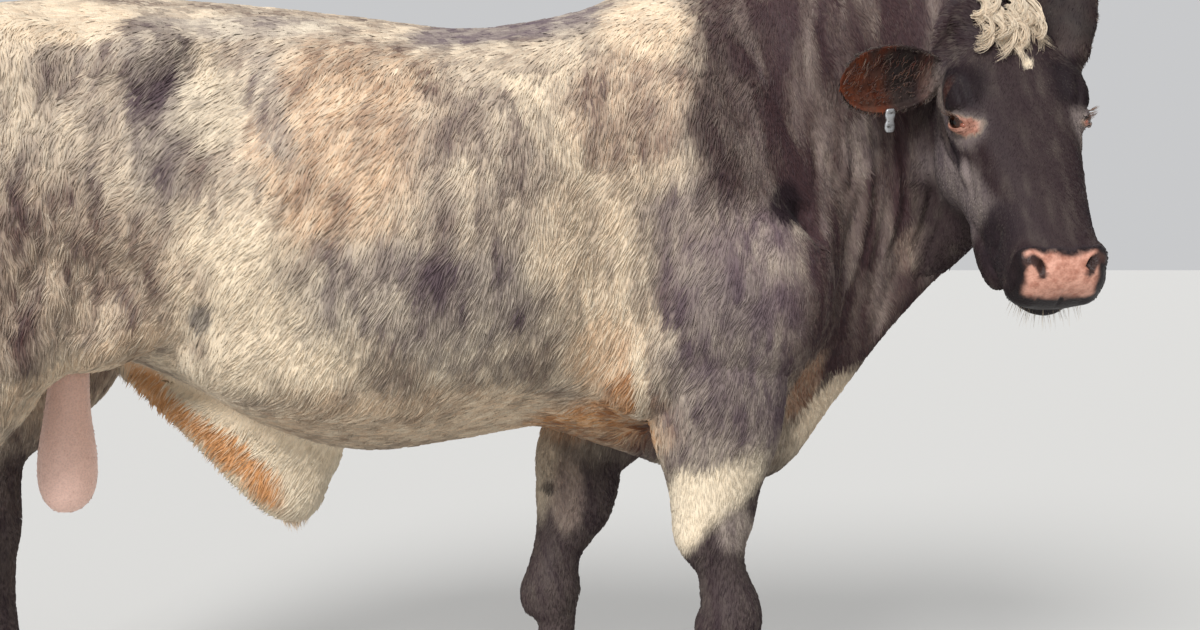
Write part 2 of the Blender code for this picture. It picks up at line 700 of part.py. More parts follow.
def part_flesh(flesh, head_skin):
    """Parts the flesh into torso, neck, head and legs, with a gap at each cut."""
    nodes = {}
    place, way = HEAD_CUT
    nodes["head"] = boolean(head_skin, [beyond("cut", place, way, GAP / 2)], "INTERSECT")
    boolean(flesh, [beyond("cut", place, way, -GAP / 2, 0.42)], "DIFFERENCE")
    keep_largest(flesh)
    for name, (side, rows) in LEGS.items():
        leg = copy_of(flesh, name)
        nodes[name] = boolean(leg, [leg_block(name, side, rows, GAP)], "INTERSECT")
        boolean(flesh, [leg_block(name, side, rows)], "DIFFERENCE")
        keep_largest(flesh)
    place, way = NECK_CUT
    nodes["neck"] = boolean(copy_of(flesh, "neck"), [beyond("cut", place, way, GAP / 2)], "INTERSECT")
    nodes["torso"] = boolean(flesh, [beyond("cut", place, way, -GAP / 2)], "DIFFERENCE")
    for name, node in nodes.items():
        node.name = name
        keep_largest(node)
    return nodes


def build_flesh():
    """The whole skin of the animal, and a finer one for the head."""
    forms = []
    trunk_forms(forms)
    trunk = remesh(object_of(forms, "trunk"), TRUNK_VOXEL, 30)
    stump = copy_of(trunk, "stump")
    boolean(stump, [beyond("cut", Vector((0.50, 0, 0)), Vector((1, 0, 0)))], "INTERSECT")
    legs = []
    leg_forms(legs)
    skull_forms(legs)
    flesh = object_of([trunk.data, *legs], "flesh")
    remesh(flesh, FLESH_VOXEL, 4)
    press(flesh, trunk_folds())
    decimate(flesh, FLESH_TRIANGLES)
    skull = []
    skull_forms(skull)
    bare = remesh(object_of([stump.data, *skull], "bare"), SKULL_VOXEL, 14)
    face = []
    face_forms(face)
    head = object_of([bare.data, *face], "head_skin")
    remesh(head, HEAD_VOXEL, 4)
    press(head, head_folds())
    decimate(head, HEAD_TRIANGLES)
    for obj in (flesh, head):
        keep_largest(obj)
        triangulate(obj)
    return flesh, head


def cord_loft(forms, rows, steps=3, sides=14):
    """A round form along a path: (x, y, z, radius)."""
    rows = smooth_rows(rows, steps)
    rings = []
    side = Vector((0, 1, 0))
    for row, along in zip(rows, directions(rows)):
        side = (side - along * side.dot(along)).normalized()
        rings.append(egg_ring(sides, Vector(row[:3]), side, along.cross(side), row[3], row[3], row[3], 1.0))
    skin_over(forms, rings)


def solid(name, forms):
    """One closed object of one form, with its faces split into triangles."""
    obj = object_of(forms, name)
    triangulate(obj)
    return obj


def build_eye(side):
    forms = []
    bm = bmesh.new()
    matrix = Matrix.Translation(eye_axes(side)[0])
    bmesh.ops.create_uvsphere(bm, u_segments=16, v_segments=10, radius=EYE_RADIUS, matrix=matrix)
    keep_form(forms, bm)
    return solid("eye_" + SIDE_NAMES[side], forms)


# An ear: (share of its length, half width, depth of its cup, thickness of its wall)
EAR = (
    (0.00, 0.024, 0.024, 0.040),
    (0.12, 0.031, 0.028, 0.040),
    (0.24, 0.044, 0.032, 0.014),
    (0.42, 0.055, 0.032, 0.0075),
    (0.60, 0.057, 0.027, 0.0065),
    (0.76, 0.052, 0.020, 0.0060),
    (0.89, 0.039, 0.012, 0.0055),
    (0.97, 0.021, 0.006, 0.0050),
    (1.00, 0.009, 0.004, 0.0045),
)
EAR_LENGTH = 0.238
EAR_ROOT = (0.078, 0.106, -0.056)
# The way each ear points, and the way its cup opens
EAR_WAYS = {
    RIGHT: (Vector((-0.92, -0.38, -0.09)), Vector((0.36, -0.90, -0.20))),
    LEFT: (Vector((0.04, 0.25, 0.96)), Vector((0.45, 0.86, -0.20))),
}


def ear_ring(sides, centre, width_way, opening, half_width, cup, wall):
    """A crescent: the back of the ear, then the inside of its cup."""
    half = sides // 2
    ring = []
    for k in range(half + 1):
        angle = math.pi * (k / half - 0.5)
        ring.append(centre + width_way * (half_width * math.sin(angle)) - opening * (cup * math.cos(angle)))
    inner = max(half_width - 0.5 * wall, 0.6 * half_width)
    for k in range(1, half):
        angle = math.pi * (0.5 - k / half)
        depth = cup - wall
        ring.append(centre + width_way * (inner * math.sin(angle)) - opening * (depth * math.cos(angle)))
    return ring


def ear_axes(side):
    """Where an ear starts, the way it points, the way its cup opens and the way its upper edge lies."""
    way, opening = EAR_WAYS[side]
    way = way.normalized()
    opening = (opening - way * opening.dot(way)).normalized()
    root = head_frame() @ Vector((EAR_ROOT[0], side * EAR_ROOT[1], EAR_ROOT[2])) - way * 0.02
    return root, way, opening, way.cross(opening)


def ear_middle(side, share):
    """The middle line of an ear, which bends a little towards its tip."""
    root, way, opening, _ = ear_axes(side)
    return root + way * (share * EAR_LENGTH) + opening * (0.020 * share**2)


def build_ear(side):
    """A cupped ear that leaves the head at its root."""
    _, _, opening, upper = ear_axes(side)
    rings = []
    for share, half_width, cup, wall in smooth_rows(EAR, 2):
        rings.append(ear_ring(14, ear_middle(side, share), upper, opening, half_width, cup, wall))
    forms = []
    skin_over(forms, rings)
    return solid("ear_" + SIDE_NAMES[side], forms)


# The right ear's plain metal tag, clipped to its lower edge
TAG_SHARE = 0.55
TAG_HALF_LENGTH = 0.020
TAG_HALF_WIDTH = 0.010
TAG_THICKNESS = 0.006


def build_tag():
    """A small clip with two rounded lobes."""
    _, way, opening, upper = ear_axes(RIGHT)
    edge = ear_middle(RIGHT, TAG_SHARE) - upper * EAR[4][1]
    rings = []
    for share in (-1.0, -0.8, -0.35, 0.0, 0.35, 0.8, 1.0):
        waist = 1.0 - 0.25 * math.exp(-((share / 0.25) ** 2)) - 0.35 * abs(share) ** 6
        centre = edge - upper * (0.013 + share * TAG_HALF_LENGTH) + opening * 0.003
        half = TAG_HALF_WIDTH * waist
        thick = TAG_THICKNESS / 2
        rings.append(egg_ring(12, centre, way, opening, half, thick, thick, 0.6))
    forms = []
    skin_over(forms, rings)
    return solid("ear_tag", forms)


# A claw from its sole to under the coronet: (height, middle ahead of the foot's, half length, half width, tilt)
CLAW = (
    (0.000, 0.016, 0.066, 0.0310, 0.00),
    (0.012, 0.014, 0.066, 0.0315, 0.00),
    (0.034, 0.006, 0.060, 0.0305, 0.10),
    (0.054, -0.002, 0.053, 0.0280, 0.18),
    (0.068, -0.006, 0.046, 0.0235, 0.22),
)
CLAW_APART = {"outer": 1, "inner": -1}
CLAW_SPREAD = 0.0345
DEWCLAW_RADII = (0.015, 0.012, 0.018)


def claw_ring(sides, x, y, z, half_length, half_width, tilt):
    """A level or tilted section of a claw, blunt at the heel and drawn out at the toe."""
    ring = []
    for k in range(sides):
        angle = 2 * math.pi * k / sides
        ahead = math.cos(angle) * half_length
        narrow = 1.0 - 0.22 * max(math.cos(angle), 0.0) ** 2
        across = signed_power(math.sin(angle), 0.85) * half_width * narrow
        ring.append(Vector((x + ahead, y + across, z + tilt * ahead)))
    return ring


def build_claws(name, side, rows):
    """The two claws of a foot and the two dewclaws behind its fetlock."""
    foot = rows[-1]
    kind = name.replace("leg", "")
    fetlock = rows[-4]
    claws = []
    for which, apart in CLAW_APART.items():
        out = side * apart
        rings = []
        for height, ahead, half_length, half_width, tilt in CLAW:
            y = side * foot[1] + out * (CLAW_SPREAD - (0.004 if height > 0.06 else 0.0))
            rings.append(claw_ring(16, foot[0] + ahead, y, height, half_length, half_width, tilt))
        forms = []
        skin_over(forms, rings)
        claws.append(solid("claw_" + kind + "_" + which, forms))
    dewclaws = []
    for which, apart in CLAW_APART.items():
        forms = []
        bm = bmesh.new()
        x = fetlock[0] - fetlock[5] + 0.006
        y = side * fetlock[1] + side * apart * 0.024
        matrix = Matrix.Translation((x, y, fetlock[2] - 0.030)) @ Matrix.Rotation(math.radians(24), 4, "Y")
        matrix = matrix @ Matrix.Diagonal((*DEWCLAW_RADII, 1.0))
        bmesh.ops.create_uvsphere(bm, u_segments=10, v_segments=6, radius=1.0, matrix=matrix)
        keep_form(forms, bm)
        dewclaws.append(solid("dewclaw_" + kind + "_" + which, forms))
    return claws, dewclaws


SCROTUM = (
    (-0.985, 0.0, 0.840, 0.042, 0.038, 0.038),
    (-0.990, 0.0, 0.760, 0.040, 0.037, 0.037),
    (-0.994, 0.0, 0.690, 0.048, 0.043, 0.043),
    (-0.996, 0.0, 0.620, 0.062, 0.053, 0.052),
    (-0.997, 0.0, 0.565, 0.061, 0.053, 0.051),
    (-0.998, 0.0, 0.530, 0.043, 0.040, 0.038),
    (-0.998, 0.0, 0.512, 0.018, 0.018, 0.018),
)
SHEATH = (
    (-0.900, 0.026, 0.800, 0.790, 0.796),
    (-0.820, 0.038, 0.770, 0.722, 0.748),
    (-0.740, 0.044, 0.740, 0.632, 0.690),
    (-0.670, 0.046, 0.720, 0.548, 0.640),
    (-0.610, 0.046, 0.700, 0.502, 0.600),
    (-0.560, 0.042, 0.690, 0.494, 0.580),
    (-0.525, 0.034, 0.680, 0.520, 0.590),
    (-0.500, 0.022, 0.670, 0.575, 0.625),
    (-0.475, 0.014, 0.665, 0.625, 0.645),
)
TAIL = (
    (-1.245, 0.0, 1.378, 0.042),
    (-1.305, 0.0, 1.382, 0.042),
    (-1.362, 0.0, 1.358, 0.037),
    (-1.402, 0.0, 1.300, 0.032),
    (-1.420, 0.0, 1.220, 0.028),
    (-1.424, 0.0, 1.100, 0.025),
    (-1.426, 0.0, 0.950, 0.022),
    (-1.426, 0.0, 0.800, 0.019),
)
SWITCH = (
    (-1.426, 0.0, 0.800 - GAP, 0.019),
    (-1.426, 0.0, 0.720, 0.018),
    (-1.426, 0.0, 0.640, 0.014),
    (-1.426, 0.0, 0.570, 0.007),
)


def lock(root, lean, fall, flat, length, width, bends, segments):
    """A flat tapered lock from its root: it sets off along `lean` and bends over to `fall`."""
    place = root.copy()
    rings = []
    for k in range(segments + 1):
        share = k / segments
        way = lean.lerp(fall, share**bends).normalized()
        side = way.cross(flat).normalized()
        taper = 0.75 + share if share < 0.25 else 1.0 - ((share - 0.25) / 0.75) ** 1.8
        half = max(width / 2 * taper, width * 0.07)
        rings.append(egg_ring(4, place, side, side.cross(way), half, half * 0.32, half * 0.32, 1.0))
        place = place + way * (length / segments)
    forms = []
    skin_over(forms, rings)
    return solid("lock", forms)


def forelock_locks(rng, head):
    """Curls that fall from the poll over the forehead."""
    bm = bmesh.new()
    bm.from_mesh(head.data)
    tree = BVHTree.FromBMesh(bm)
    bm.free()
    frame = head_frame()
    down, left, _ = frame.to_3x3().normalized().col
    locks = []
    for row in range(4):
        for column in range(5):
            x = -0.034 + 0.024 * row + rng.uniform(-0.005, 0.005)
            y = -0.052 + 0.026 * column + rng.uniform(-0.005, 0.005)
            spot, normal, _, _ = tree.find_nearest(frame @ Vector((x, y, 0.02)))
            swing = 0.5 * (column - 2) / 2 + rng.uniform(-0.35, 0.35)
            lean = (normal * 0.62 + down * 0.75 + left * swing).normalized()
            fall = (down * 0.95 - left * swing * 0.4 - normal * 0.22).normalized()
            length = rng.uniform(0.070, 0.092)
            locks.append(lock(spot - normal * 0.008, lean, fall, normal, length, 0.027, 0.7, 5))
    return locks


def switch_locks(rng):
    """Long locks that hang round the end of the tail."""
    locks = []
    count = 13
    for k in range(count):
        angle = 2 * math.pi * (k * 0.382 + rng.uniform(-0.03, 0.03))
        height = 0.782 - 0.170 * (k / count)
        away = Vector((math.cos(angle), math.sin(angle), 0))
        root = Vector((SWITCH[0][0], 0, height)) + away * 0.006
        lean = (away * 0.30 + Vector((0, 0, -1))).normalized()
        fall = (away * -0.10 + Vector((0, 0, -1))).normalized()
        length = rng.uniform(0.235, 0.285)
        locks.append(lock(root, lean, fall, away, length, 0.046, 0.45, 5))
    return locks


def sheath_locks(rng):
    """A tuft of straight hair at the tip of the sheath."""
    locks = []
    count = 7
    for k in range(count):
        share = k / (count - 1)
        swing = 0.25 * (-1) ** k
        root = Vector((-0.622 + 0.072 * share, 0.012 * (-1) ** k, 0.524))
        lean = Vector((0.10, swing, -1.0)).normalized()
        fall = Vector((0.42 - 0.75 * share, -0.5 * swing, -1.0)).normalized()
        length = rng.uniform(0.062, 0.080)
        locks.append(lock(root, lean, fall, Vector((0, 1, 0)), length, 0.030, 0.8, 4))
    return locks


# Colour, roughness and metallic value of each kind of node
FINISHES = {
    "head": ((0.060, 0.042, 0.042), 0.62, 0.0),
    "neck": ((0.075, 0.052, 0.050), 0.65, 0.0),
    "torso": ((0.470, 0.390, 0.300), 0.68, 0.0),
    "foreleg": ((0.100, 0.075, 0.075), 0.62, 0.0),
    "hindleg": ((0.160, 0.125, 0.105), 0.65, 0.0),
    "ear": ((0.160, 0.070, 0.035), 0.70, 0.0),
    "eye": ((0.020, 0.010, 0.008), 0.08, 0.0),
    "claw": ((0.045, 0.035, 0.030), 0.45, 0.0),
    "dewclaw": ((0.045, 0.035, 0.030), 0.45, 0.0),
    "scrotum": ((0.600, 0.360, 0.270), 0.60, 0.0),
    "sheath": ((0.620, 0.480, 0.330), 0.66, 0.0),
    "tail": ((0.420, 0.350, 0.280), 0.68, 0.0),
    "ear_tag": ((0.620, 0.630, 0.650), 0.35, 0.9),
}


def finish(obj):
    """Gives a node its own material and smooth shading."""
    kind = obj.name if obj.name in FINISHES else obj.name.split("_")[0]
    colour, roughness, metallic = FINISHES[kind]
    material = bpy.data.materials.new(obj.name)
    material.use_nodes = True
    shader = material.node_tree.nodes["Principled BSDF"]
    shader.inputs["Base Color"].default_value = (*colour, 1.0)
    shader.inputs["Roughness"].default_value = roughness
    shader.inputs["Metallic"].default_value = metallic
    obj.data.materials.clear()
    obj.data.materials.append(material)
    obj.data.shade_smooth()
    obj.data.set_sharp_from_angle(angle=math.radians(50))


def build_head_parts(head, neck):
    """Eyes in their sockets, ears on their roots, the ear tag and the locks of the poll."""
    nodes = []
    for side in (RIGHT, LEFT):
        eye = build_eye(side)
        boolean(head, [grown(eye)], "DIFFERENCE")
        nodes.append(eye)
    keep_largest(head)
    boolean(head, forelock_locks(random.Random(SEED), head), "UNION")
    keep_largest(head)
    for side in (RIGHT, LEFT):
        ear = build_ear(side)
        fit_onto(ear, neck)
        fit_onto(ear, head)
        nodes.append(ear)
    tag = build_tag()
    fit_onto(tag, nodes[2])
    nodes.append(tag)
    return nodes


def build_feet(nodes):
    """Claws under each coronet and dewclaws behind each fetlock."""
    made = []
    for name, (side, rows) in LEGS.items():
        leg = nodes[name]
        claws, dewclaws = build_claws(name, side, rows)
        boolean(leg, [grown(claw) for claw in claws], "DIFFERENCE")
        keep_largest(leg)
        for dewclaw in dewclaws:
            fit_onto(dewclaw, leg)
        made += claws + dewclaws
    return made


def build_hanging_parts(torso):
    """Scrotum, sheath and tail, each trimmed to the trunk, with the locks of the sheath and the tail's switch."""
    forms = []
    limb_loft(forms, SCROTUM, steps=2, sides=14)
    scrotum = solid("scrotum", forms)
    forms = []
    level_loft(forms, SHEATH, steps=2, sides=14)
    sheath = solid("sheath", forms)
    fit_onto(sheath, torso)
    rng = random.Random(SEED + 1)
    boolean(sheath, sheath_locks(rng), "UNION")
    keep_largest(sheath)
    forms = []
    cord_loft(forms, TAIL, steps=2, sides=10)
    tail = solid("tail", forms)
    forms = []
    cord_loft(forms, SWITCH, steps=2, sides=10)
    switch = solid("tail_switch", forms)
    boolean(switch, switch_locks(rng), "UNION")
    keep_largest(switch)
    for obj in (scrotum, tail):
        fit_onto(obj, torso)
    return [scrotum, sheath, tail, switch]


def main():
    clear_scene()
    flesh, head_skin = build_flesh()
    for obj in list(bpy.data.objects):
        if obj not in (flesh, head_skin):
            bpy.data.objects.remove(obj, do_unlink=True)
    nodes = part_flesh(flesh, head_skin)
    build_head_parts(nodes["head"], nodes["neck"])
    build_feet(nodes)
    build_hanging_parts(nodes["torso"])
    base = bpy.data.objects.new("bull", None)
    bpy.context.scene.collection.objects.link(base)
    base.location = (-CENTRE_X, -CENTRE_Y, 0.0)
    for obj in list(bpy.data.objects):
        if obj.type == "MESH":
            finish(obj)
            obj.parent = base


if __name__ == "__main__":
    main()
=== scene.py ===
"""The look of a beef shorthorn bull at life size: its hide, coat, long hair, eyes, hooves and ear tag.

The bull faces +X and its right side is at -Y. All sizes are in metres.
"""

import json
import math

import bmesh
import bpy
import numpy as np
from mathutils import Euler, Matrix, Vector
from mathutils.bvhtree import BVHTree

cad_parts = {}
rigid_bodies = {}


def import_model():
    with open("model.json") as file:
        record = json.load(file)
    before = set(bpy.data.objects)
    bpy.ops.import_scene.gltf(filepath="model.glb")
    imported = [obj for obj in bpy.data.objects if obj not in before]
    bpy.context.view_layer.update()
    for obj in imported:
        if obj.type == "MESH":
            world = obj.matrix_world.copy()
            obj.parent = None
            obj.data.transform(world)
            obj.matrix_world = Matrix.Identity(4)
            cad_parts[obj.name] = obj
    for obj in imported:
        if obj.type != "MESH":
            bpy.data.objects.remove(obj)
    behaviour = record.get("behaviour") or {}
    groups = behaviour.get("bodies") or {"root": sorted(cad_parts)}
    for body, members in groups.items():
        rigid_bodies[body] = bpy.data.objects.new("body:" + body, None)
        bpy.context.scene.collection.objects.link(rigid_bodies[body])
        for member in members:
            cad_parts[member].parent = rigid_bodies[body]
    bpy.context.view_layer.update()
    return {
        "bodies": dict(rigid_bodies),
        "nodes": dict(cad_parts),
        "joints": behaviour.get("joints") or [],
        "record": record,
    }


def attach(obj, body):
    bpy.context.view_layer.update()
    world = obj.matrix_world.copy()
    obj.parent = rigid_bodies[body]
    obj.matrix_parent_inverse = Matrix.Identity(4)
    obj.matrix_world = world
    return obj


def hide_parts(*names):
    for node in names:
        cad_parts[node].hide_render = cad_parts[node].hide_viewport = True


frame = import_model()

SEED = 1848

# The shapes are worked out about the drawing's own origin, and this moves them over the row's
SHIFT = Vector((0.2947, 0.0229, 0.0))

# Driving heights and widths of the standing animal
WITHERS = 1.495
BACK = 1.408
HIPS = 1.465
BELLY = 0.632
GIRTH_FLOOR = 0.690
BARREL_HALF_WIDTH = 0.382

# The head's place: its poll, how far it is turned to the right, lowered and rolled, and its scale
POLL = Vector((0.700, -0.163, 1.411))
HEAD_TURN = math.radians(81.4)
HEAD_DROP = math.radians(51.8)
HEAD_ROLL = math.radians(3.3)
HEAD_SCALE = 1.03

RIGHT, LEFT = -1, 1
SIDE_NAMES = {RIGHT: "right", LEFT: "left"}


def link(name, mesh):
    """A new object in the scene that shows the mesh."""
    obj = bpy.data.objects.new(name, mesh)
    bpy.context.scene.collection.objects.link(obj)
    return obj


def keep_form(forms, bm):
    """Adds a finished closed form to the list, its faces pointing out."""
    bmesh.ops.recalc_face_normals(bm, faces=bm.faces)
    mesh = bpy.data.meshes.new("form")
    bm.to_mesh(mesh)
    bm.free()
    forms.append(mesh)


def object_of(forms, name):
    """Gathers the forms in one object."""
    bm = bmesh.new()
    for mesh in forms:
        bm.from_mesh(mesh)
        bpy.data.meshes.remove(mesh)
    mesh = bpy.data.meshes.new(name)
    bm.to_mesh(mesh)
    bm.free()
    return link(name, mesh)


def apply_modifiers(obj):
    """Replaces the object's mesh by what its modifiers make of it."""
    bpy.context.view_layer.update()
    graph = bpy.context.evaluated_depsgraph_get()
    mesh = bpy.data.meshes.new_from_object(obj.evaluated_get(graph), depsgraph=graph)
    obj.modifiers.clear()
    obj.data = mesh
    return obj


def remesh(obj, voxel, passes):
    """Blends all that overlaps into one skin and softens it."""
    blend = obj.modifiers.new("blend", "REMESH")
    blend.mode = "VOXEL"
    blend.voxel_size = voxel
    soften = obj.modifiers.new("soften", "SMOOTH")
    soften.factor = 0.5
    soften.iterations = passes
    return apply_modifiers(obj)


def islands(bm):
    """The separate closed surfaces of a mesh, as lists of faces, largest first."""
    left = set(bm.faces)
    found = []
    while left:
        seed = left.pop()
        island = [seed]
        stack = [seed]
        while stack:
            face = stack.pop()
            for edge in face.edges:
                for other in edge.link_faces:
                    if other in left:
                        left.remove(other)
                        island.append(other)
                        stack.append(other)
        found.append(island)
    found.sort(key=lambda island: -sum(face.calc_area() for face in island))
    return found


def keep_largest(obj):
    """Leaves only the largest closed surface."""
    bm = bmesh.new()
    bm.from_mesh(obj.data)
    for island in islands(bm)[1:]:
        bmesh.ops.delete(bm, geom=island, context="FACES")
    bm.to_mesh(obj.data)
    bm.free()


def smooth_rows(rows, steps):
    """Rows of numbers joined by Catmull-Rom curves, with `steps` new rows in each span."""
    padded = [rows[0], *rows, rows[-1]]
    made = []
    for i in range(len(rows) - 1):
        columns = list(zip(*padded[i : i + 4]))
        for k in range(steps):
            t = k / steps
            row = []
            for p, q, r, s in columns:
                bend = (2 * p - 5 * q + 4 * r - s) * t**2 + (3 * q - p - 3 * r + s) * t**3
                row.append(0.5 * (2 * q + (r - p) * t + bend))
            made.append(row)
    made.append(list(rows[-1]))
    return made


def signed_power(value, power):
    return math.copysign(abs(value) ** power, value)


def egg_ring(sides, centre, side, up, across, above, below, power):
    """The points of an egg-shaped section: rounder than 1 is a smaller power, boxier than 1 a larger one."""
    ring = []
    for k in range(sides):
        angle = 2 * math.pi * k / sides
        c, s = math.cos(angle), math.sin(angle)
        rise = above if s > 0 else below
        ring.append(centre + side * (signed_power(c, power) * across) + up * (signed_power(s, power) * rise))
    return ring


def skin_over(forms, rings):
    """A closed form through rings of points, each extruded from the one before, with both ends filled."""
    bm = bmesh.new()
    verts = bmesh.ops.create_circle(bm, cap_ends=False, segments=len(rings[0]), radius=1.0)["verts"]
    edges = list({edge for v in verts for edge in v.link_edges})
    first = edges
    for v, place in zip(verts, rings[0]):
        v.co = place
    for ring in rings[1:]:
        made = bmesh.ops.extrude_edge_only(bm, edges=edges)["geom"]
        fresh = {g for g in made if isinstance(g, bmesh.types.BMVert)}
        follows = {edge.other_vert(v): v for v in fresh for edge in v.link_edges}
        verts = [follows[v] for v in verts]
        edges = [g for g in made if isinstance(g, bmesh.types.BMEdge) and fresh.issuperset(g.verts)]
        for v, place in zip(verts, ring):
            v.co = place
    bmesh.ops.edgeloop_fill(bm, edges=first)
    bmesh.ops.edgeloop_fill(bm, edges=edges)
    keep_form(forms, bm)


def loft(forms, stations, sides=28):
    """A closed form through egg-shaped sections: (centre, side, up, across, above, below, power)."""
    skin_over(forms, [egg_ring(sides, *station) for station in stations])


def directions(rows):
    """The unit direction of travel at each row, whose first three numbers are its place."""
    found = []
    for i in range(len(rows)):
        before = Vector(rows[max(i - 1, 0)][:3])
        after = Vector(rows[min(i + 1, len(rows) - 1)][:3])
        found.append((after - before).normalized())
    return found


def level_loft(forms, rows, steps=4, sides=32, power=0.92, y=0.0):
    """A form along X with upright sections: (x, half width, top, bottom, height of the widest part)."""
    stations = []
    for x, width, top, bottom, widest in smooth_rows(rows, steps):
        centre = Vector((x, y, widest))
        stations.append((centre, Vector((0, 1, 0)), Vector((0, 0, 1)), width, top - widest, widest - bottom, power))
    loft(forms, stations, sides)


def limb_loft(forms, rows, steps=4, sides=20):
    """A form down a limb: (x, y, z, half width, half depth in front, half depth behind)."""
    rows = smooth_rows(rows, steps)
    stations = []
    for row, along in zip(rows, directions(rows)):
        fore = Vector((0, 1, 0)).cross(along).normalized()
        if fore.x < 0:
            fore = -fore
        side = along.cross(fore).normalized()
        stations.append((Vector(row[:3]), side, fore, row[3], row[4], row[5], 1.0))
    loft(forms, stations, sides)


def keel_loft(forms, rows, steps=4, sides=24):
    """A form along a rising line with upright sections: (x, y, z, half width, above, below)."""
    rows = smooth_rows(rows, steps)
    stations = []
    for row, along in zip(rows, directions(rows)):
        along.z = 0
        side = Vector((0, 0, 1)).cross(along.normalized())
        stations.append((Vector(row[:3]), side, Vector((0, 0, 1)), row[3], row[4], row[5], 0.97))
    loft(forms, stations, sides)


def ellipsoid(forms, centre, radii, turn=(0, 0, 0), frame=None):
    """An ellipsoid with its radii along X, Y and Z before it is turned, by degrees about X, Y and Z."""
    bm = bmesh.new()
    euler = Euler([math.radians(angle) for angle in turn])
    matrix = Matrix.Translation(centre) @ euler.to_matrix().to_4x4() @ Matrix.Diagonal((*radii, 1.0))
    if frame is not None:
        matrix = frame @ matrix
    bmesh.ops.create_uvsphere(bm, u_segments=28, v_segments=18, radius=1.0, matrix=matrix)
    keep_form(forms, bm)


def both_sides(forms, centre, radii, turn=(0, 0, 0), frame=None):
    """An ellipsoid on the right and its mirror image on the left."""
    for side in (RIGHT, LEFT):
        place = Vector((centre[0], side * centre[1], centre[2]))
        turned = (side * turn[0], turn[1], side * turn[2])
        ellipsoid(forms, place, radii, turned, frame)


# The trunk, from the buttocks to the front of the chest
TRUNK = (
    (-1.345, 0.10, 1.300, 1.080, 1.190),  # buttocks
    (-1.290, 0.20, 1.395, 0.980, 1.180),  # tail head
    (-1.160, 0.27, HIPS - 0.020, 0.880, 1.160),  # rump
    (-0.960, 0.29, HIPS, 0.826, 1.140),  # hips
    (-0.780, 0.30, HIPS - 0.004, 0.764, 1.110),  # hook bones
    (-0.600, 0.34, HIPS - 0.018, 0.672, 1.040),  # loin
    (-0.430, BARREL_HALF_WIDTH, BACK + 0.020, BELLY, 1.000),  # paunch
    (-0.250, BARREL_HALF_WIDTH + 0.006, BACK, BELLY + 0.022, 1.000),  # middle of the back
    (-0.090, 0.352, BACK + 0.020, GIRTH_FLOOR - 0.010, 1.010),  # girth
    (0.060, 0.310, BACK + 0.062, GIRTH_FLOOR - 0.020, 1.020),  # behind the shoulder
    (0.200, 0.270, WITHERS, GIRTH_FLOOR - 0.020, 1.040),  # withers
    (0.330, 0.215, WITHERS + 0.010, 0.700, 1.060),  # shoulder points
    (0.440, 0.150, WITHERS - 0.050, 0.790, 1.080),  # front of the chest
)

# The neck, from deep in the chest up to the back of the skull
NECK = (
    (0.120, 0.000, 1.130, 0.230, 0.330, 0.300),
    (0.300, 0.000, 1.160, 0.208, 0.375, 0.330),
    (0.430, 0.000, 1.200, 0.170, 0.385, 0.340),
    (0.540, -0.004, 1.235, 0.134, 0.350, 0.315),
    (0.620, -0.026, 1.262, 0.114, 0.290, 0.280),
    (0.680, -0.062, 1.280, 0.104, 0.220, 0.235),
    (0.715, -0.100, 1.290, 0.090, 0.150, 0.180),
)

# The brisket and dewlap, a narrow keel from the girth up to the throat
DEWLAP = (
    (-0.170, 0.000, 0.740, 0.060, 0.060, 0.050),
    (0.020, 0.000, 0.715, 0.085, 0.080, 0.085),
    (0.200, 0.000, 0.700, 0.098, 0.100, 0.128),
    (0.330, -0.002, 0.735, 0.088, 0.100, 0.154),
    (0.430, -0.006, 0.840, 0.070, 0.110, 0.138),
    (0.520, -0.016, 0.945, 0.055, 0.110, 0.120),
    (0.600, -0.040, 1.040, 0.054, 0.110, 0.118),
    (0.655, -0.070, 1.095, 0.056, 0.100, 0.114),
    (0.700, -0.100, 1.135, 0.054, 0.080, 0.098),
    (0.735, -0.125, 1.160, 0.044, 0.050, 0.060),
)

# The legs, from inside the body down to the claws: (x, y, z, half width, in front, behind)
FORE_RIGHT = (
    (0.200, 0.200, 0.900, 0.085, 0.150, 0.140),  # upper arm
    (0.204, 0.205, 0.780, 0.082, 0.128, 0.135),  # elbow
    (0.205, 0.196, 0.690, 0.074, 0.116, 0.122),  # forearm
    (0.202, 0.188, 0.600, 0.065, 0.084, 0.088),
    (0.200, 0.183, 0.545, 0.058, 0.075, 0.077),
    (0.200, 0.180, 0.500, 0.051, 0.067, 0.070),
    (0.213, 0.178, 0.450, 0.042, 0.045, 0.047),  # above the knee
    (0.221, 0.177, 0.415, 0.044, 0.047, 0.048),
    (0.230, 0.176, 0.378, 0.052, 0.054, 0.054),
    (0.232, 0.176, 0.348, 0.054, 0.056, 0.058),  # knee
    (0.230, 0.176, 0.310, 0.048, 0.046, 0.052),
    (0.228, 0.176, 0.276, 0.037, 0.037, 0.041),  # cannon
    (0.228, 0.176, 0.228, 0.036, 0.035, 0.040),
    (0.229, 0.176, 0.186, 0.042, 0.040, 0.045),
    (0.232, 0.176, 0.150, 0.052, 0.047, 0.052),  # fetlock
    (0.247, 0.176, 0.114, 0.049, 0.043, 0.048),  # pastern
    (0.260, 0.176, 0.086, 0.062, 0.054, 0.054),  # coronet
    (0.264, 0.176, 0.054, 0.058, 0.052, 0.050),
)
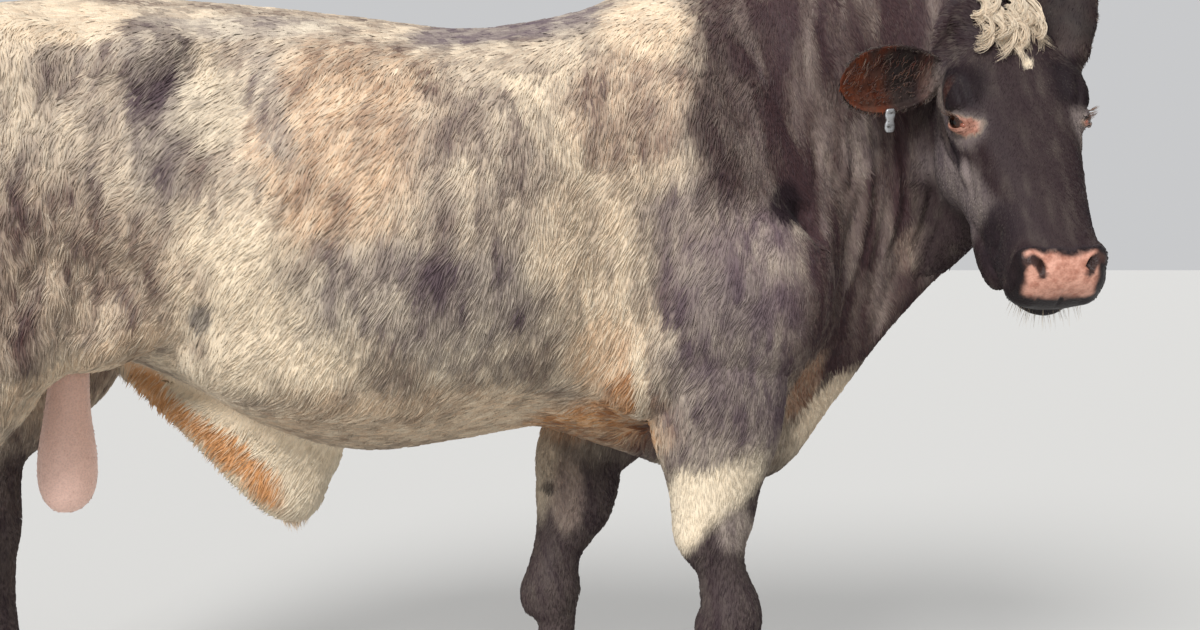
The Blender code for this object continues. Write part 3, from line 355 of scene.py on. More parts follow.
FORE_LEFT = (
    (0.150, 0.200, 0.900, 0.085, 0.150, 0.130),
    (0.100, 0.205, 0.780, 0.082, 0.128, 0.128),
    (0.020, 0.190, 0.690, 0.076, 0.120, 0.118),
    (-0.038, 0.172, 0.600, 0.066, 0.092, 0.090),
    (-0.044, 0.160, 0.545, 0.060, 0.084, 0.084),
    (-0.053, 0.152, 0.495, 0.054, 0.077, 0.078),
    (-0.068, 0.148, 0.452, 0.046, 0.060, 0.062),
    (-0.082, 0.146, 0.414, 0.042, 0.049, 0.050),
    (-0.090, 0.145, 0.376, 0.048, 0.050, 0.052),
    (-0.093, 0.145, 0.336, 0.054, 0.056, 0.060),
    (-0.090, 0.145, 0.300, 0.048, 0.048, 0.052),
    (-0.084, 0.145, 0.268, 0.037, 0.037, 0.041),
    (-0.084, 0.145, 0.222, 0.036, 0.035, 0.040),
    (-0.085, 0.145, 0.182, 0.042, 0.040, 0.045),
    (-0.084, 0.145, 0.148, 0.052, 0.047, 0.052),
    (-0.070, 0.145, 0.113, 0.049, 0.043, 0.048),
    (-0.057, 0.145, 0.086, 0.062, 0.054, 0.054),
    (-0.053, 0.145, 0.054, 0.058, 0.052, 0.050),
)
HIND_RIGHT = (
    (-1.060, 0.200, 1.080, 0.120, 0.210, 0.200),  # thigh
    (-1.085, 0.215, 0.900, 0.110, 0.180, 0.190),
    (-1.130, 0.215, 0.780, 0.095, 0.150, 0.140),  # stifle
    (-1.200, 0.205, 0.680, 0.080, 0.112, 0.095),
    (-1.285, 0.192, 0.590, 0.058, 0.075, 0.072),  # gaskin
    (-1.345, 0.184, 0.530, 0.048, 0.062, 0.068),
    (-1.372, 0.180, 0.480, 0.050, 0.062, 0.066),  # hock
    (-1.376, 0.178, 0.430, 0.048, 0.056, 0.056),
    (-1.376, 0.177, 0.380, 0.038, 0.042, 0.044),  # cannon
    (-1.374, 0.176, 0.290, 0.034, 0.036, 0.040),
    (-1.372, 0.176, 0.210, 0.040, 0.040, 0.044),
    (-1.368, 0.176, 0.165, 0.050, 0.047, 0.052),  # fetlock
    (-1.350, 0.176, 0.122, 0.046, 0.042, 0.046),
    (-1.336, 0.176, 0.086, 0.060, 0.053, 0.052),  # coronet
    (-1.332, 0.176, 0.054, 0.056, 0.051, 0.048),
)
HIND_LEFT = (
    (-1.050, 0.200, 1.080, 0.120, 0.210, 0.200),
    (-1.070, 0.215, 0.900, 0.110, 0.170, 0.190),
    (-1.105, 0.215, 0.780, 0.095, 0.140, 0.140),
    (-1.160, 0.205, 0.690, 0.080, 0.100, 0.100),
    (-1.205, 0.192, 0.610, 0.058, 0.072, 0.078),
    (-1.215, 0.184, 0.545, 0.048, 0.066, 0.072),
    (-1.212, 0.180, 0.480, 0.050, 0.064, 0.066),
    (-1.208, 0.178, 0.430, 0.048, 0.058, 0.056),
    (-1.204, 0.177, 0.380, 0.038, 0.044, 0.044),
    (-1.198, 0.176, 0.290, 0.034, 0.036, 0.040),
    (-1.192, 0.176, 0.210, 0.040, 0.040, 0.044),
    (-1.186, 0.176, 0.165, 0.050, 0.047, 0.052),
    (-1.168, 0.176, 0.122, 0.046, 0.042, 0.046),
    (-1.154, 0.176, 0.086, 0.060, 0.053, 0.052),
    (-1.150, 0.176, 0.054, 0.056, 0.051, 0.048),
)
LEGS = {
    "foreleg_right": (RIGHT, FORE_RIGHT),
    "foreleg_left": (LEFT, FORE_LEFT),
    "hindleg_right": (RIGHT, HIND_RIGHT),
    "hindleg_left": (LEFT, HIND_LEFT),
}


def trunk_forms(forms):
    """Trunk, neck, brisket and the masses of muscle and bone that shape the outline."""
    level_loft(forms, TRUNK)
    keel_loft(forms, NECK, sides=32)
    keel_loft(forms, DEWLAP, sides=20)
    both_sides(forms, (0.150, 0.185, 1.130), (0.150, 0.110, 0.300), (8, -16, 0))  # shoulder blade
    both_sides(forms, (0.225, 0.205, 0.940), (0.190, 0.115, 0.190), (0, 20, 0))  # upper arm
    both_sides(forms, (0.305, 0.150, 0.990), (0.120, 0.095, 0.140))  # point of the shoulder
    both_sides(forms, (0.080, 0.205, 0.830), (0.120, 0.090, 0.130), (0, -30, 0))  # elbow muscle
    both_sides(forms, (-1.060, 0.185, 1.060), (0.240, 0.130, 0.290), (0, 8, 0))  # thigh
    both_sides(forms, (-1.210, 0.130, 1.020), (0.130, 0.120, 0.260), (0, 6, 0))  # buttock
    both_sides(forms, (-1.010, 0.150, 1.280), (0.280, 0.130, 0.150), (0, 6, 0))  # rump muscle
    both_sides(forms, (-0.775, 0.190, 1.320), (0.130, 0.090, 0.088))  # hook bone
    both_sides(forms, (-1.285, 0.105, 1.260), (0.070, 0.060, 0.070))  # pin bone
    both_sides(forms, (-0.995, 0.225, 0.885), (0.110, 0.085, 0.160), (0, 22, 0))  # stifle
    both_sides(forms, (-0.860, 0.205, 0.905), (0.160, 0.060, 0.110), (0, -24, 0))  # flank fold
    both_sides(forms, (-0.400, 0.165, 0.870), (0.360, 0.180, 0.200))  # lower barrel
    ellipsoid(forms, (0.440, -0.004, 1.420), (0.310, 0.110, 0.135), (0, -6, 0))  # crest of the neck
    ellipsoid(forms, (0.130, 0.000, 1.390), (0.180, 0.100, 0.100))  # withers
    both_sides(forms, (-0.010, 0.130, 0.765), (0.180, 0.085, 0.080))  # chest floor behind the elbows


def leg_forms(forms):
    """The four legs, with the bone behind each knee and the point of each hock."""
    for name, (side, rows) in LEGS.items():
        limb_loft(forms, [(row[0], side * row[1], *row[2:]) for row in rows])
        if name.startswith("fore"):
            knee = rows[9]
            place = (knee[0] - 0.042, side * knee[1], knee[2] - 0.012)
            ellipsoid(forms, place, (0.024, 0.026, 0.046))
        else:
            hock = rows[5]
            place = (hock[0] - 0.060, side * hock[1], hock[2] + 0.008)
            ellipsoid(forms, place, (0.028, 0.026, 0.062), (0, 10, 0))


def head_frame():
    """From the head's own axes, X down the face, Y to its left and Z out of the forehead, to the world."""
    level = math.cos(HEAD_DROP)
    face = Vector((math.cos(HEAD_TURN) * level, -math.sin(HEAD_TURN) * level, -math.sin(HEAD_DROP)))
    left = Vector((math.sin(HEAD_TURN), math.cos(HEAD_TURN), 0))
    out = face.cross(left)
    rolled = left * math.cos(HEAD_ROLL) + out * math.sin(HEAD_ROLL)
    matrix = Matrix((face, rolled, face.cross(rolled))).transposed().to_4x4()
    return Matrix.Translation(POLL) @ matrix @ Matrix.Scale(HEAD_SCALE, 4)


# The head in its own axes: (x, half width, top, bottom, height of the widest part)
SKULL = (
    (-0.050, 0.050, -0.040, -0.130, -0.080),  # back of the poll
    (-0.025, 0.086, -0.012, -0.165, -0.080),
    (0.030, 0.108, 0.004, -0.215, -0.080),  # forehead
    (0.100, 0.117, 0.003, -0.245, -0.082),
    (0.170, 0.115, -0.007, -0.252, -0.085),  # eyes
    (0.235, 0.103, -0.016, -0.242, -0.098),
    (0.300, 0.091, -0.022, -0.228, -0.108),  # cheeks
    (0.360, 0.083, -0.026, -0.212, -0.114),  # bridge of the nose
    (0.410, 0.079, -0.030, -0.194, -0.112),
    (0.450, 0.081, -0.034, -0.178, -0.106),  # muzzle
    (0.485, 0.078, -0.044, -0.164, -0.102),
    (0.503, 0.064, -0.060, -0.146, -0.100),
    (0.510, 0.040, -0.076, -0.124, -0.100),
)
SKULL_POWER = 0.78
EYE_PLACE = (0.186, 0.099, -0.052)
EYE_RADIUS = 0.0205
EYE_OUT = (0.22, 0.94, 0.26)
EYE_ALONG = (0.74, -0.30, 0.46)


def eye_axes(side):
    """The middle of an eye, the way it looks, the line of its lids and the way its upper lid lies."""
    frame = head_frame()
    turn = frame.to_3x3().normalized()
    middle = frame @ Vector((EYE_PLACE[0], side * EYE_PLACE[1], EYE_PLACE[2]))
    out = (turn @ Vector((EYE_OUT[0], side * EYE_OUT[1], EYE_OUT[2]))).normalized()
    along = turn @ Vector((EYE_ALONG[0], side * EYE_ALONG[1], EYE_ALONG[2]))
    along = (along - out * along.dot(out)).normalized()
    brow = out.cross(along)
    if brow.dot(turn.col[2]) < 0:
        brow = -brow
    return middle, out, along, brow


def lid_line(side, half_length, half_height, sphere, steps, bulge=0.0):
    """A closed almond line round the eye, on a sphere about its middle."""
    middle, out, along, brow = eye_axes(side)
    line = []
    for k in range(steps):
        angle = 2 * math.pi * k / steps
        over = signed_power(math.sin(angle), 1.25) * half_height + bulge
        flat = along * (math.cos(angle) * half_length) + brow * over
        depth = math.sqrt(max(sphere**2 - flat.length_squared, (0.35 * sphere) ** 2))
        line.append(middle + flat + out * depth)
    return line


def tube_ring(forms, line, radius, sides=8):
    """A closed tube round a closed line of points."""
    rings = []
    count = len(line)
    middle = sum(line, Vector()) / count
    for k in range(count):
        along = (line[(k + 1) % count] - line[k - 1]).normalized()
        away = line[k] - middle
        away = (away - along * away.dot(along)).normalized()
        rings.append(egg_ring(sides, line[k], away, along.cross(away), radius, radius, radius, 1.0))
    half = count // 2
    skin_over(forms, rings[: half + 2])
    skin_over(forms, rings[half:] + rings[:2])


def skull_forms(forms):
    """The skull's loft with its brows, cheeks, poll and the roots of the ears."""
    frame = head_frame()
    turn = frame.to_3x3()
    stations = []
    for x, width, top, bottom, widest in smooth_rows(SKULL, 3):
        centre = frame @ Vector((x, 0, widest))
        side, out = turn.col[1].copy(), turn.col[2].copy()
        stations.append((centre, side, out, width, top - widest, widest - bottom, SKULL_POWER))
    loft(forms, stations, 32)
    both_sides(forms, (0.135, 0.086, -0.038), (0.062, 0.038, 0.032), (0, 8, 8), frame)  # brow
    both_sides(forms, (0.222, 0.082, -0.098), (0.060, 0.022, 0.020), (0, 6, 12), frame)  # rim below the eye
    both_sides(forms, (0.160, 0.070, -0.170), (0.100, 0.044, 0.085), (0, -14, 0), frame)  # cheek muscle
    both_sides(forms, (0.325, 0.052, -0.160), (0.120, 0.036, 0.044), (0, 8, 6), frame)  # jaw
    ellipsoid(forms, (-0.004, 0, -0.018), (0.052, 0.086, 0.036), (0, 0, 0), frame)  # poll
    both_sides(forms, (0.058, 0.098, -0.066), (0.040, 0.034, 0.040), (0, 0, 0), frame)  # root of the ear


def face_forms(forms):
    """Nostrils' wings, lips and lids."""
    frame = head_frame()
    both_sides(forms, (0.460, 0.046, -0.070), (0.036, 0.032, 0.032), (0, 0, -8), frame)  # wing of the nostril
    both_sides(forms, (0.470, 0.042, -0.120), (0.040, 0.038, 0.030), (0, 0, -10), frame)  # upper lip
    ellipsoid(forms, (0.440, 0, -0.167), (0.056, 0.054, 0.022), (0, 4, 0), frame)  # lower lip and chin
    for side in (RIGHT, LEFT):
        tube_ring(forms, lid_line(side, 0.0250, 0.0125, EYE_RADIUS + 0.004, 24), 0.0050)


def cord_loft(forms, rows, steps=3, sides=14):
    """A round form along a path: (x, y, z, radius)."""
    rows = smooth_rows(rows, steps)
    rings = []
    side = Vector((0, 1, 0))
    for row, along in zip(rows, directions(rows)):
        side = (side - along * side.dot(along)).normalized()
        rings.append(egg_ring(sides, Vector(row[:3]), side, along.cross(side), row[3], row[3], row[3], 1.0))
    skin_over(forms, rings)


# An ear: (share of its length, half width, depth of its cup, thickness of its wall)
EAR = (
    (0.00, 0.024, 0.024, 0.040),
    (0.12, 0.031, 0.028, 0.040),
    (0.24, 0.044, 0.032, 0.014),
    (0.42, 0.055, 0.032, 0.0075),
    (0.60, 0.057, 0.027, 0.0065),
    (0.76, 0.052, 0.020, 0.0060),
    (0.89, 0.039, 0.012, 0.0055),
    (0.97, 0.021, 0.006, 0.0050),
    (1.00, 0.009, 0.004, 0.0045),
)
EAR_LENGTH = 0.238
EAR_ROOT = (0.078, 0.106, -0.056)
# The way each ear points, and the way its cup opens
EAR_WAYS = {
    RIGHT: (Vector((-0.92, -0.38, -0.09)), Vector((0.36, -0.90, -0.20))),
    LEFT: (Vector((0.04, 0.25, 0.96)), Vector((0.45, 0.86, -0.20))),
}


def ear_ring(sides, centre, width_way, opening, half_width, cup, wall):
    """A crescent: the back of the ear, then the inside of its cup."""
    half = sides // 2
    ring = []
    for k in range(half + 1):
        angle = math.pi * (k / half - 0.5)
        ring.append(centre + width_way * (half_width * math.sin(angle)) - opening * (cup * math.cos(angle)))
    inner = max(half_width - 0.5 * wall, 0.6 * half_width)
    for k in range(1, half):
        angle = math.pi * (0.5 - k / half)
        depth = cup - wall
        ring.append(centre + width_way * (inner * math.sin(angle)) - opening * (depth * math.cos(angle)))
    return ring


def ear_axes(side):
    """Where an ear starts, the way it points, the way its cup opens and the way its upper edge lies."""
    way, opening = EAR_WAYS[side]
    way = way.normalized()
    opening = (opening - way * opening.dot(way)).normalized()
    root = head_frame() @ Vector((EAR_ROOT[0], side * EAR_ROOT[1], EAR_ROOT[2])) - way * 0.02
    return root, way, opening, way.cross(opening)


def ear_middle(side, share):
    """The middle line of an ear, which bends a little towards its tip."""
    root, way, opening, _ = ear_axes(side)
    return root + way * (share * EAR_LENGTH) + opening * (0.020 * share**2)


SCROTUM = (
    (-0.985, 0.0, 0.840, 0.042, 0.038, 0.038),
    (-0.990, 0.0, 0.760, 0.040, 0.037, 0.037),
    (-0.994, 0.0, 0.690, 0.048, 0.043, 0.043),
    (-0.996, 0.0, 0.620, 0.062, 0.053, 0.052),
    (-0.997, 0.0, 0.565, 0.061, 0.053, 0.051),
    (-0.998, 0.0, 0.530, 0.043, 0.040, 0.038),
    (-0.998, 0.0, 0.512, 0.018, 0.018, 0.018),
)
SHEATH = (
    (-0.900, 0.026, 0.830, 0.780, 0.800),
    (-0.820, 0.038, 0.790, 0.702, 0.740),
    (-0.740, 0.044, 0.750, 0.622, 0.685),
    (-0.670, 0.046, 0.720, 0.548, 0.640),
    (-0.610, 0.046, 0.700, 0.502, 0.600),
    (-0.560, 0.042, 0.690, 0.494, 0.580),
    (-0.525, 0.034, 0.680, 0.520, 0.590),
    (-0.500, 0.022, 0.670, 0.575, 0.625),
    (-0.475, 0.014, 0.665, 0.625, 0.645),
)
TAIL = (
    (-1.245, 0.0, 1.378, 0.042),
    (-1.305, 0.0, 1.382, 0.042),
    (-1.362, 0.0, 1.358, 0.037),
    (-1.402, 0.0, 1.300, 0.032),
    (-1.420, 0.0, 1.220, 0.028),
    (-1.424, 0.0, 1.100, 0.025),
    (-1.426, 0.0, 0.950, 0.022),
    (-1.426, 0.0, 0.800, 0.019),
)


# Furrows of the trunk and neck on the right side: (x, z), half width, depth
TRUNK_FOLDS = (
    (((-0.64, 1.38), (-0.60, 1.28), (-0.555, 1.16)), 0.055, 0.020),  # hollow of the flank
    (((-0.80, 1.02), (-0.84, 0.92), (-0.90, 0.84)), 0.045, 0.010),  # edge of the thigh
    (((0.26, 1.44), (0.33, 1.28), (0.39, 1.14)), 0.030, 0.012),  # neck fold before the shoulder
    (((0.345, 1.10), (0.362, 1.06), (0.395, 1.03)), 0.030, 0.018),  # hollow at the shoulder's point
    (((-0.02, 1.22), (0.00, 1.05), (0.03, 0.90)), 0.050, 0.008),  # behind the shoulder
)

# Furrows of the head in its own axes: places, half width, depth
HEAD_FOLDS = (
    (((0.498, 0.020, -0.142), (0.480, 0.056, -0.142), (0.440, 0.074, -0.146), (0.395, 0.076, -0.154)), 0.0045, 0.005),
    (((0.235, 0.100, -0.050), (0.290, 0.080, -0.058)), 0.014, 0.004),
)


# Finer folds of the hide, each along (x, z) at the side of the animal, with half width and depth
NECK_FOLDS = (
    (((0.23, 1.44), (0.29, 1.31), (0.35, 1.18)), 0.018, 0.006),
    (((0.34, 1.30), (0.39, 1.18), (0.44, 1.08), (0.45, 0.99), (0.41, 0.90), (0.34, 0.84)), 0.018, 0.010),
    (((0.44, 1.26), (0.46, 1.09), (0.44, 0.92)), 0.014, 0.007),
    (((0.49, 1.24), (0.51, 1.08), (0.49, 0.92)), 0.013, 0.007),
    (((0.53, 1.23), (0.55, 1.09), (0.53, 0.96)), 0.011, 0.006),
    (((0.58, 1.20), (0.59, 1.08), (0.58, 0.98)), 0.011, 0.005),
    (((0.46, 1.37), (0.49, 1.30), (0.51, 1.23)), 0.014, 0.005),
    (((0.29, 1.42), (0.34, 1.33), (0.38, 1.26)), 0.014, 0.004),
    (((0.37, 1.42), (0.41, 1.33), (0.43, 1.24)), 0.013, 0.004),
    (((0.54, 1.00), (0.52, 0.90), (0.49, 0.82)), 0.014, 0.006),
    (((0.50, 1.18), (0.46, 0.95), (0.36, 0.75)), 0.020, 0.006),
    (((0.20, 1.37), (0.23, 1.26), (0.27, 1.18)), 0.020, 0.004),
)
BODY_FOLDS = (
    (((-0.04, 0.99), (-0.02, 0.92), (0.00, 0.85)), 0.009, 0.004),
    (((-0.02, 1.00), (0.00, 0.93), (0.02, 0.87)), 0.009, 0.003),
    (((0.06, 0.84), (0.10, 0.74), (0.12, 0.66)), 0.014, 0.006),
    (((-0.92, 1.02), (-1.00, 0.88), (-1.10, 0.76)), 0.034, 0.006),
    (((-0.69, 0.87), (-0.76, 0.80), (-0.83, 0.76)), 0.018, 0.006),
)
# Folds of the face in its own axes
FACE_FOLDS = (
    (((0.140, 0.112, -0.085), (0.165, 0.118, -0.100), (0.200, 0.112, -0.106), (0.240, 0.102, -0.102)), 0.007, 0.0045),
    (((0.150, 0.112, -0.118), (0.190, 0.116, -0.128), (0.230, 0.106, -0.124)), 0.008, 0.0035),
    (((0.225, 0.100, -0.075), (0.262, 0.092, -0.090), (0.300, 0.086, -0.118)), 0.008, 0.004),
    (((0.120, 0.100, -0.010), (0.155, 0.098, -0.012), (0.195, 0.092, -0.020)), 0.008, 0.004),
    (((0.380, 0.078, -0.075), (0.400, 0.080, -0.100), (0.402, 0.076, -0.130)), 0.010, 0.004),
    (((0.500, 0.001, -0.080), (0.503, 0.001, -0.105), (0.498, 0.001, -0.130)), 0.003, 0.0012),
    (((0.300, 0.080, -0.165), (0.350, 0.078, -0.150), (0.390, 0.077, -0.145)), 0.009, 0.004),
)
NOSTRIL = ((0.485, 0.034, -0.064), (0.480, 0.043, -0.051), (0.472, 0.052, -0.046), (0.464, 0.059, -0.054))
NOSTRIL_WAY = Vector((-0.80, -0.25, -0.30))
# The opening between the lids: half length, upper and lower half height, and the lids' thickness
EYE_OPENING = (0.0225, 0.0125, 0.0105)
LID = 0.0032

# Depth of the coat over the hide
COAT_DEPTH = {"body": 0.006, "leg": 0.003, "tail": 0.003, "head": 0.002, "ear": 0.001, "bare": 0.0}

SKIN_VOXEL = 0.0036
SKIN_TRIANGLES = 188000
# The share of a furrow's length over which it fades out at each end
FOLD_FADE = 0.30


def cut_away(obj, place, way):
    """Keeps what lies beyond a plane and closes the cut."""
    bm = bmesh.new()
    bm.from_mesh(obj.data)
    geometry = [*bm.verts, *bm.edges, *bm.faces]
    cut = bmesh.ops.bisect_plane(bm, geom=geometry, plane_co=place, plane_no=way, clear_inner=True)
    rim = [g for g in cut["geom_cut"] if isinstance(g, bmesh.types.BMEdge)]
    bmesh.ops.holes_fill(bm, edges=rim, sides=0)
    bm.to_mesh(obj.data)
    bm.free()


def refine(obj, chosen):
    """Splits the faces whose points are all chosen."""
    bm = bmesh.new()
    bm.from_mesh(obj.data)
    bm.verts.ensure_lookup_table()
    picked = {bm.verts[i] for i in np.nonzero(chosen)[0].tolist()}
    edges = {edge for v in picked for edge in v.link_edges if edge.other_vert(v) in picked}
    bmesh.ops.subdivide_edges(bm, edges=list(edges), cuts=1, use_grid_fill=True, smooth=0.0)
    bm.to_mesh(obj.data)
    bm.free()


def set_lids(obj):
    """Opens the lids over each eyeball, with a rounded rim and creases behind it."""
    spots, _ = places_of(obj)
    half_length, over, under = EYE_OPENING
    for side in (RIGHT, LEFT):
        middle, out, along, brow = (np.array(axis) for axis in eye_axes(side))
        rel = spots - middle
        u, v, w = rel @ along, rel @ brow, rel @ out
        near = (u * u + v * v < 0.045**2) & (w > -0.03)
        u, v, w = u[near], v[near], w[near]
        height = np.where(v > 0, over, under)
        rim = np.abs(v) - height * (1.0 - (u / half_length) ** 2)
        rim = np.where(np.abs(u) > half_length, np.maximum(rim, np.abs(u) - half_length), rim)
        reach = np.hypot(u, v)
        ball = np.sqrt(EYE_RADIUS**2 - np.minimum(reach, 0.96 * EYE_RADIUS) ** 2)
        shoulder = 0.74 * EYE_RADIUS
        lid_height = math.sqrt((EYE_RADIUS + LID) ** 2 - shoulder**2)
        lid = np.sqrt((EYE_RADIUS + LID) ** 2 - np.minimum(reach, shoulder) ** 2)
        lid -= np.maximum(reach - shoulder, 0.0) * shoulder / lid_height
        lid -= 120.0 * np.maximum(reach - 0.024, 0.0) ** 2
        outer = smooth_step(rim, 0.003, 0.014)
        over_both = 0.0022 * np.logaddexp(lid / 0.0022, w / 0.0022)
        raised = lid * (1 - outer) + np.maximum(over_both - 0.0008, w) * outer
        crease = np.exp(-(((rim - 0.0085) / 0.0016) ** 2)) + 0.7 * np.exp(-(((rim - 0.0135) / 0.0018) ** 2))
        raised = raised - 0.0018 * crease * np.where(v > 0, 1.0, 0.8)
        open_share = smooth_step(-rim, 0.0, 0.0018)
        w_new = raised * (1 - open_share) + (ball - 0.005) * open_share
        spots[near] += np.outer(w_new - w, out)
    put_places(obj, spots)


def places_of(obj):
    """The places and normals of a mesh's points."""
    count = len(obj.data.vertices)
    spots = np.empty(count * 3)
    normals = np.empty(count * 3)
    obj.data.vertices.foreach_get("co", spots)
    obj.data.vertices.foreach_get("normal", normals)
    return spots.reshape(-1, 3), normals.reshape(-1, 3)


def put_places(obj, spots):
    obj.data.vertices.foreach_set("co", spots.ravel())
    obj.data.update()


def soften(obj, passes, share):
    """Smooths a mesh, each point by its own share."""
    mesh = obj.data
    ends = np.empty(len(mesh.edges) * 2, dtype=np.int64)
    mesh.edges.foreach_get("vertices", ends)
    ends = ends.reshape(-1, 2)
    spots, _ = places_of(obj)
    count = len(spots)
    both = np.concatenate([ends[:, 0], ends[:, 1]])
    other = np.concatenate([ends[:, 1], ends[:, 0]])
    links = np.maximum(np.bincount(both, minlength=count), 1)
    for _ in range(passes):
        moved = np.empty_like(spots)
        for axis in range(3):
            moved[:, axis] = np.bincount(both, weights=spots[other, axis], minlength=count) / links
        spots += (moved - spots) * (0.5 * share)[:, None]
    put_places(obj, spots)


def smooth_step(value, low, high):
    """0 below low, 1 above high, with a soft change between."""
    share = np.clip((value - low) / (high - low), 0.0, 1.0)
    return share * share * (3.0 - 2.0 * share)


def in_head(spots):
    """Places in the head's own axes."""
    matrix = np.array(head_frame().inverted())
    return spots @ matrix[:3, :3].T + matrix[:3, 3]


def zones(spots):
    """How much each place belongs to each region of the animal, from 0 to 1."""
    x, y, z = spots.T
    face = in_head(spots)
    found = {"face_places": face}
    near_head = (face[:, 0] > -0.12) & (face[:, 0] < 0.6) & (np.abs(face[:, 1]) < 0.2) & (np.abs(face[:, 2] + 0.1) < 0.25)
    cut = (x - 0.632) * 0.72 + (y + 0.050) * -0.68 + (z - 1.270) * -0.12
    found["head"] = smooth_step(cut, -0.015, 0.03) * near_head
    ears, inside, base = np.zeros((3, len(spots)))
    table = np.array(EAR)
    for side in (RIGHT, LEFT):
        line = np.array([ear_middle(side, share) for share in np.linspace(0.0, 1.0, 7)])
        root, way = ear_axes(side)[:2]
        along = (spots - np.array(root)) @ np.array(way) / EAR_LENGTH
        near = smooth_step(-nearest_reach(spots, line)[0], -0.066, -0.058)
        share = smooth_step(along, 0.14, 0.30) * near
        found["ear_" + SIDE_NAMES[side]] = share
        ears = np.maximum(ears, share)
        _, _, opening, upper = (np.array(axis) for axis in ear_axes(side))
        place = np.clip(along, 0.0, 1.0)
        rel = spots - (np.array(root) + np.outer(place * EAR_LENGTH, way) + np.outer(0.020 * place**2, opening))
        wall = np.interp(place, table[:, 0], table[:, 3])
        shape = 1.0 - (rel @ upper / np.interp(place, table[:, 0], table[:, 1])) ** 2
        back = (np.interp(place, table[:, 0], table[:, 2]) - 0.5 * wall) * np.sqrt(np.clip(shape, 0.0, 1.0))
        inside += share * smooth_step(rel @ opening + back, -0.0005, 0.001)
        base = np.maximum(base, share * smooth_step(-along, -0.62, -0.44))
    found["ear"] = ears
    found["ear_inside"] = np.clip(inside, 0, 1)
    found["ear_base"] = base
    found["head"] = found["head"] * (1 - ears)
    found["neck"] = smooth_step(x, 0.15, 0.30) * smooth_step(z, 0.60, 0.70) * (1 - found["head"]) * (1 - ears)
    tail = (x < -1.33) & (np.abs(y) < 0.06) & (z > 0.60)
    tail |= (x < -1.39) & (np.abs(y) < 0.06)
    found["tail"] = tail * smooth_step(-x, 1.33, 1.39)
    found["leg"] = smooth_step(-z, -0.70, -0.56) * (1 - found["head"]) * (1 - found["tail"])
    off = np.hypot((x + 0.994) / 0.085, y / 0.08)
    found["scrotum"] = smooth_step(-z, -0.81, -0.77) * smooth_step(-off, -1.15, -1.0)
    belly = np.interp(x, [row[0] for row in TRUNK], [row[3] for row in TRUNK])
    hangs = smooth_step(x, -0.90, -0.86) * smooth_step(-x, 0.44, 0.47) * smooth_step(-np.abs(y), -0.07, -0.05)
    found["sheath"] = smooth_step(belly - z, -0.02, 0.015) * hangs
    found["leg"] = found["leg"] * (1 - found["scrotum"]) * (1 - found["sheath"])
    hx, hy, hz = face.T
    # The nose pad is pink in the middle, with dark leather round it and along both lips
    ragged = 0.004 * noise_at(spots, 60.0, 16)
    rim = hx + 0.30 * (hz + 0.10) + 0.20 * np.abs(hy) + ragged
    pad = smooth_step(rim, 0.479, 0.487) * smooth_step(-np.abs(hy + 0.004) + ragged, -0.080, -0.068)
    lips = smooth_step(hx - 0.30 * (hz + 0.14), 0.476, 0.486) * smooth_step(-hz, 0.125, 0.140)
    inner = smooth_step(-np.abs(hy + 0.006) + ragged, -0.061, -0.051) * smooth_step(hz + ragged, -0.107, -0.095)
    inner *= smooth_step(rim, 0.489, 0.497)
    found["pink"] = inner * found["head"]
    found["muzzle"] = np.maximum(pad, lips) * found["head"]
    # The nostril's hollow, seen along the way it was pressed in
    way = np.array(NOSTRIL_WAY.normalized())
    mirrored = np.stack([hx, np.abs(hy), hz], axis=1)
    line = np.array(NOSTRIL)
    reach = nearest_reach(mirrored - np.outer(mirrored @ way, way), line - np.outer(line @ way, way))[0]
    found["nostril"] = smooth_step(-reach, -0.0080, -0.0040) * found["muzzle"]
    found["lids"] = np.zeros(len(spots))
    for side in (RIGHT, LEFT):
        middle, out, along, brow = (np.array(axis) for axis in eye_axes(side))
        rel = spots - middle - out * 0.012 - along * 0.011
        rise = rel @ brow / np.where(rel @ brow > 0, 0.016, 0.022)
        reach = np.hypot(rel @ along / 0.036, rise) + 0.15 * noise_at(spots, 130.0, 17)
        reach *= 1.0 if side == RIGHT else 2.4
        near = (np.abs(rel @ out) < 0.03) * smooth_step(-reach, -1.15, -0.75)
        found["lids"] = np.maximum(found["lids"], near * found["head"])
    return found


def nearest_reach(spots, line):
    """How far each spot is from a line of points, and how far along the line that is, from 0 to 1."""
    reach = np.full(len(spots), 9.0)
    along = np.zeros(len(spots))
    for i, (start, end) in enumerate(zip(line[:-1], line[1:])):
        run = end - start
        share = np.clip((spots - start) @ run / max(run @ run, 1e-12), 0.0, 1.0)
        off = spots - (start + share[:, None] * run)
        found = np.sqrt((off * off).sum(1))
        along = np.where(found < reach, (i + share) / (len(line) - 1), along)
        reach = np.minimum(reach, found)
    return reach, along


def press(obj, folds, hold):
    """Presses soft furrows into a skin. Each fold is (places on the skin, half width, depth, way or None)."""
    spots, normals = places_of(obj)
    moved = spots.copy()
    for places, half_width, depth, way in folds:
        line = np.array(smooth_rows(places, 5))
        margin = 2.5 * half_width
        near = np.all((spots > line.min(0) - margin) & (spots < line.max(0) + margin), axis=1)
        reach, along = nearest_reach(spots[near], line)
        inward = -normals[near] if way is None else np.array(way)
        # A furrow of the hide fades out towards its ends
        ends = FOLD_FADE if way is None else 0.01
        fade = smooth_step(along, 0.0, ends) * smooth_step(1.0 - along, 0.0, ends)
        moved[near] += inward * (hold[near] * fade * depth * np.exp(-((reach / half_width) ** 2)))[:, None]
    put_places(obj, moved)


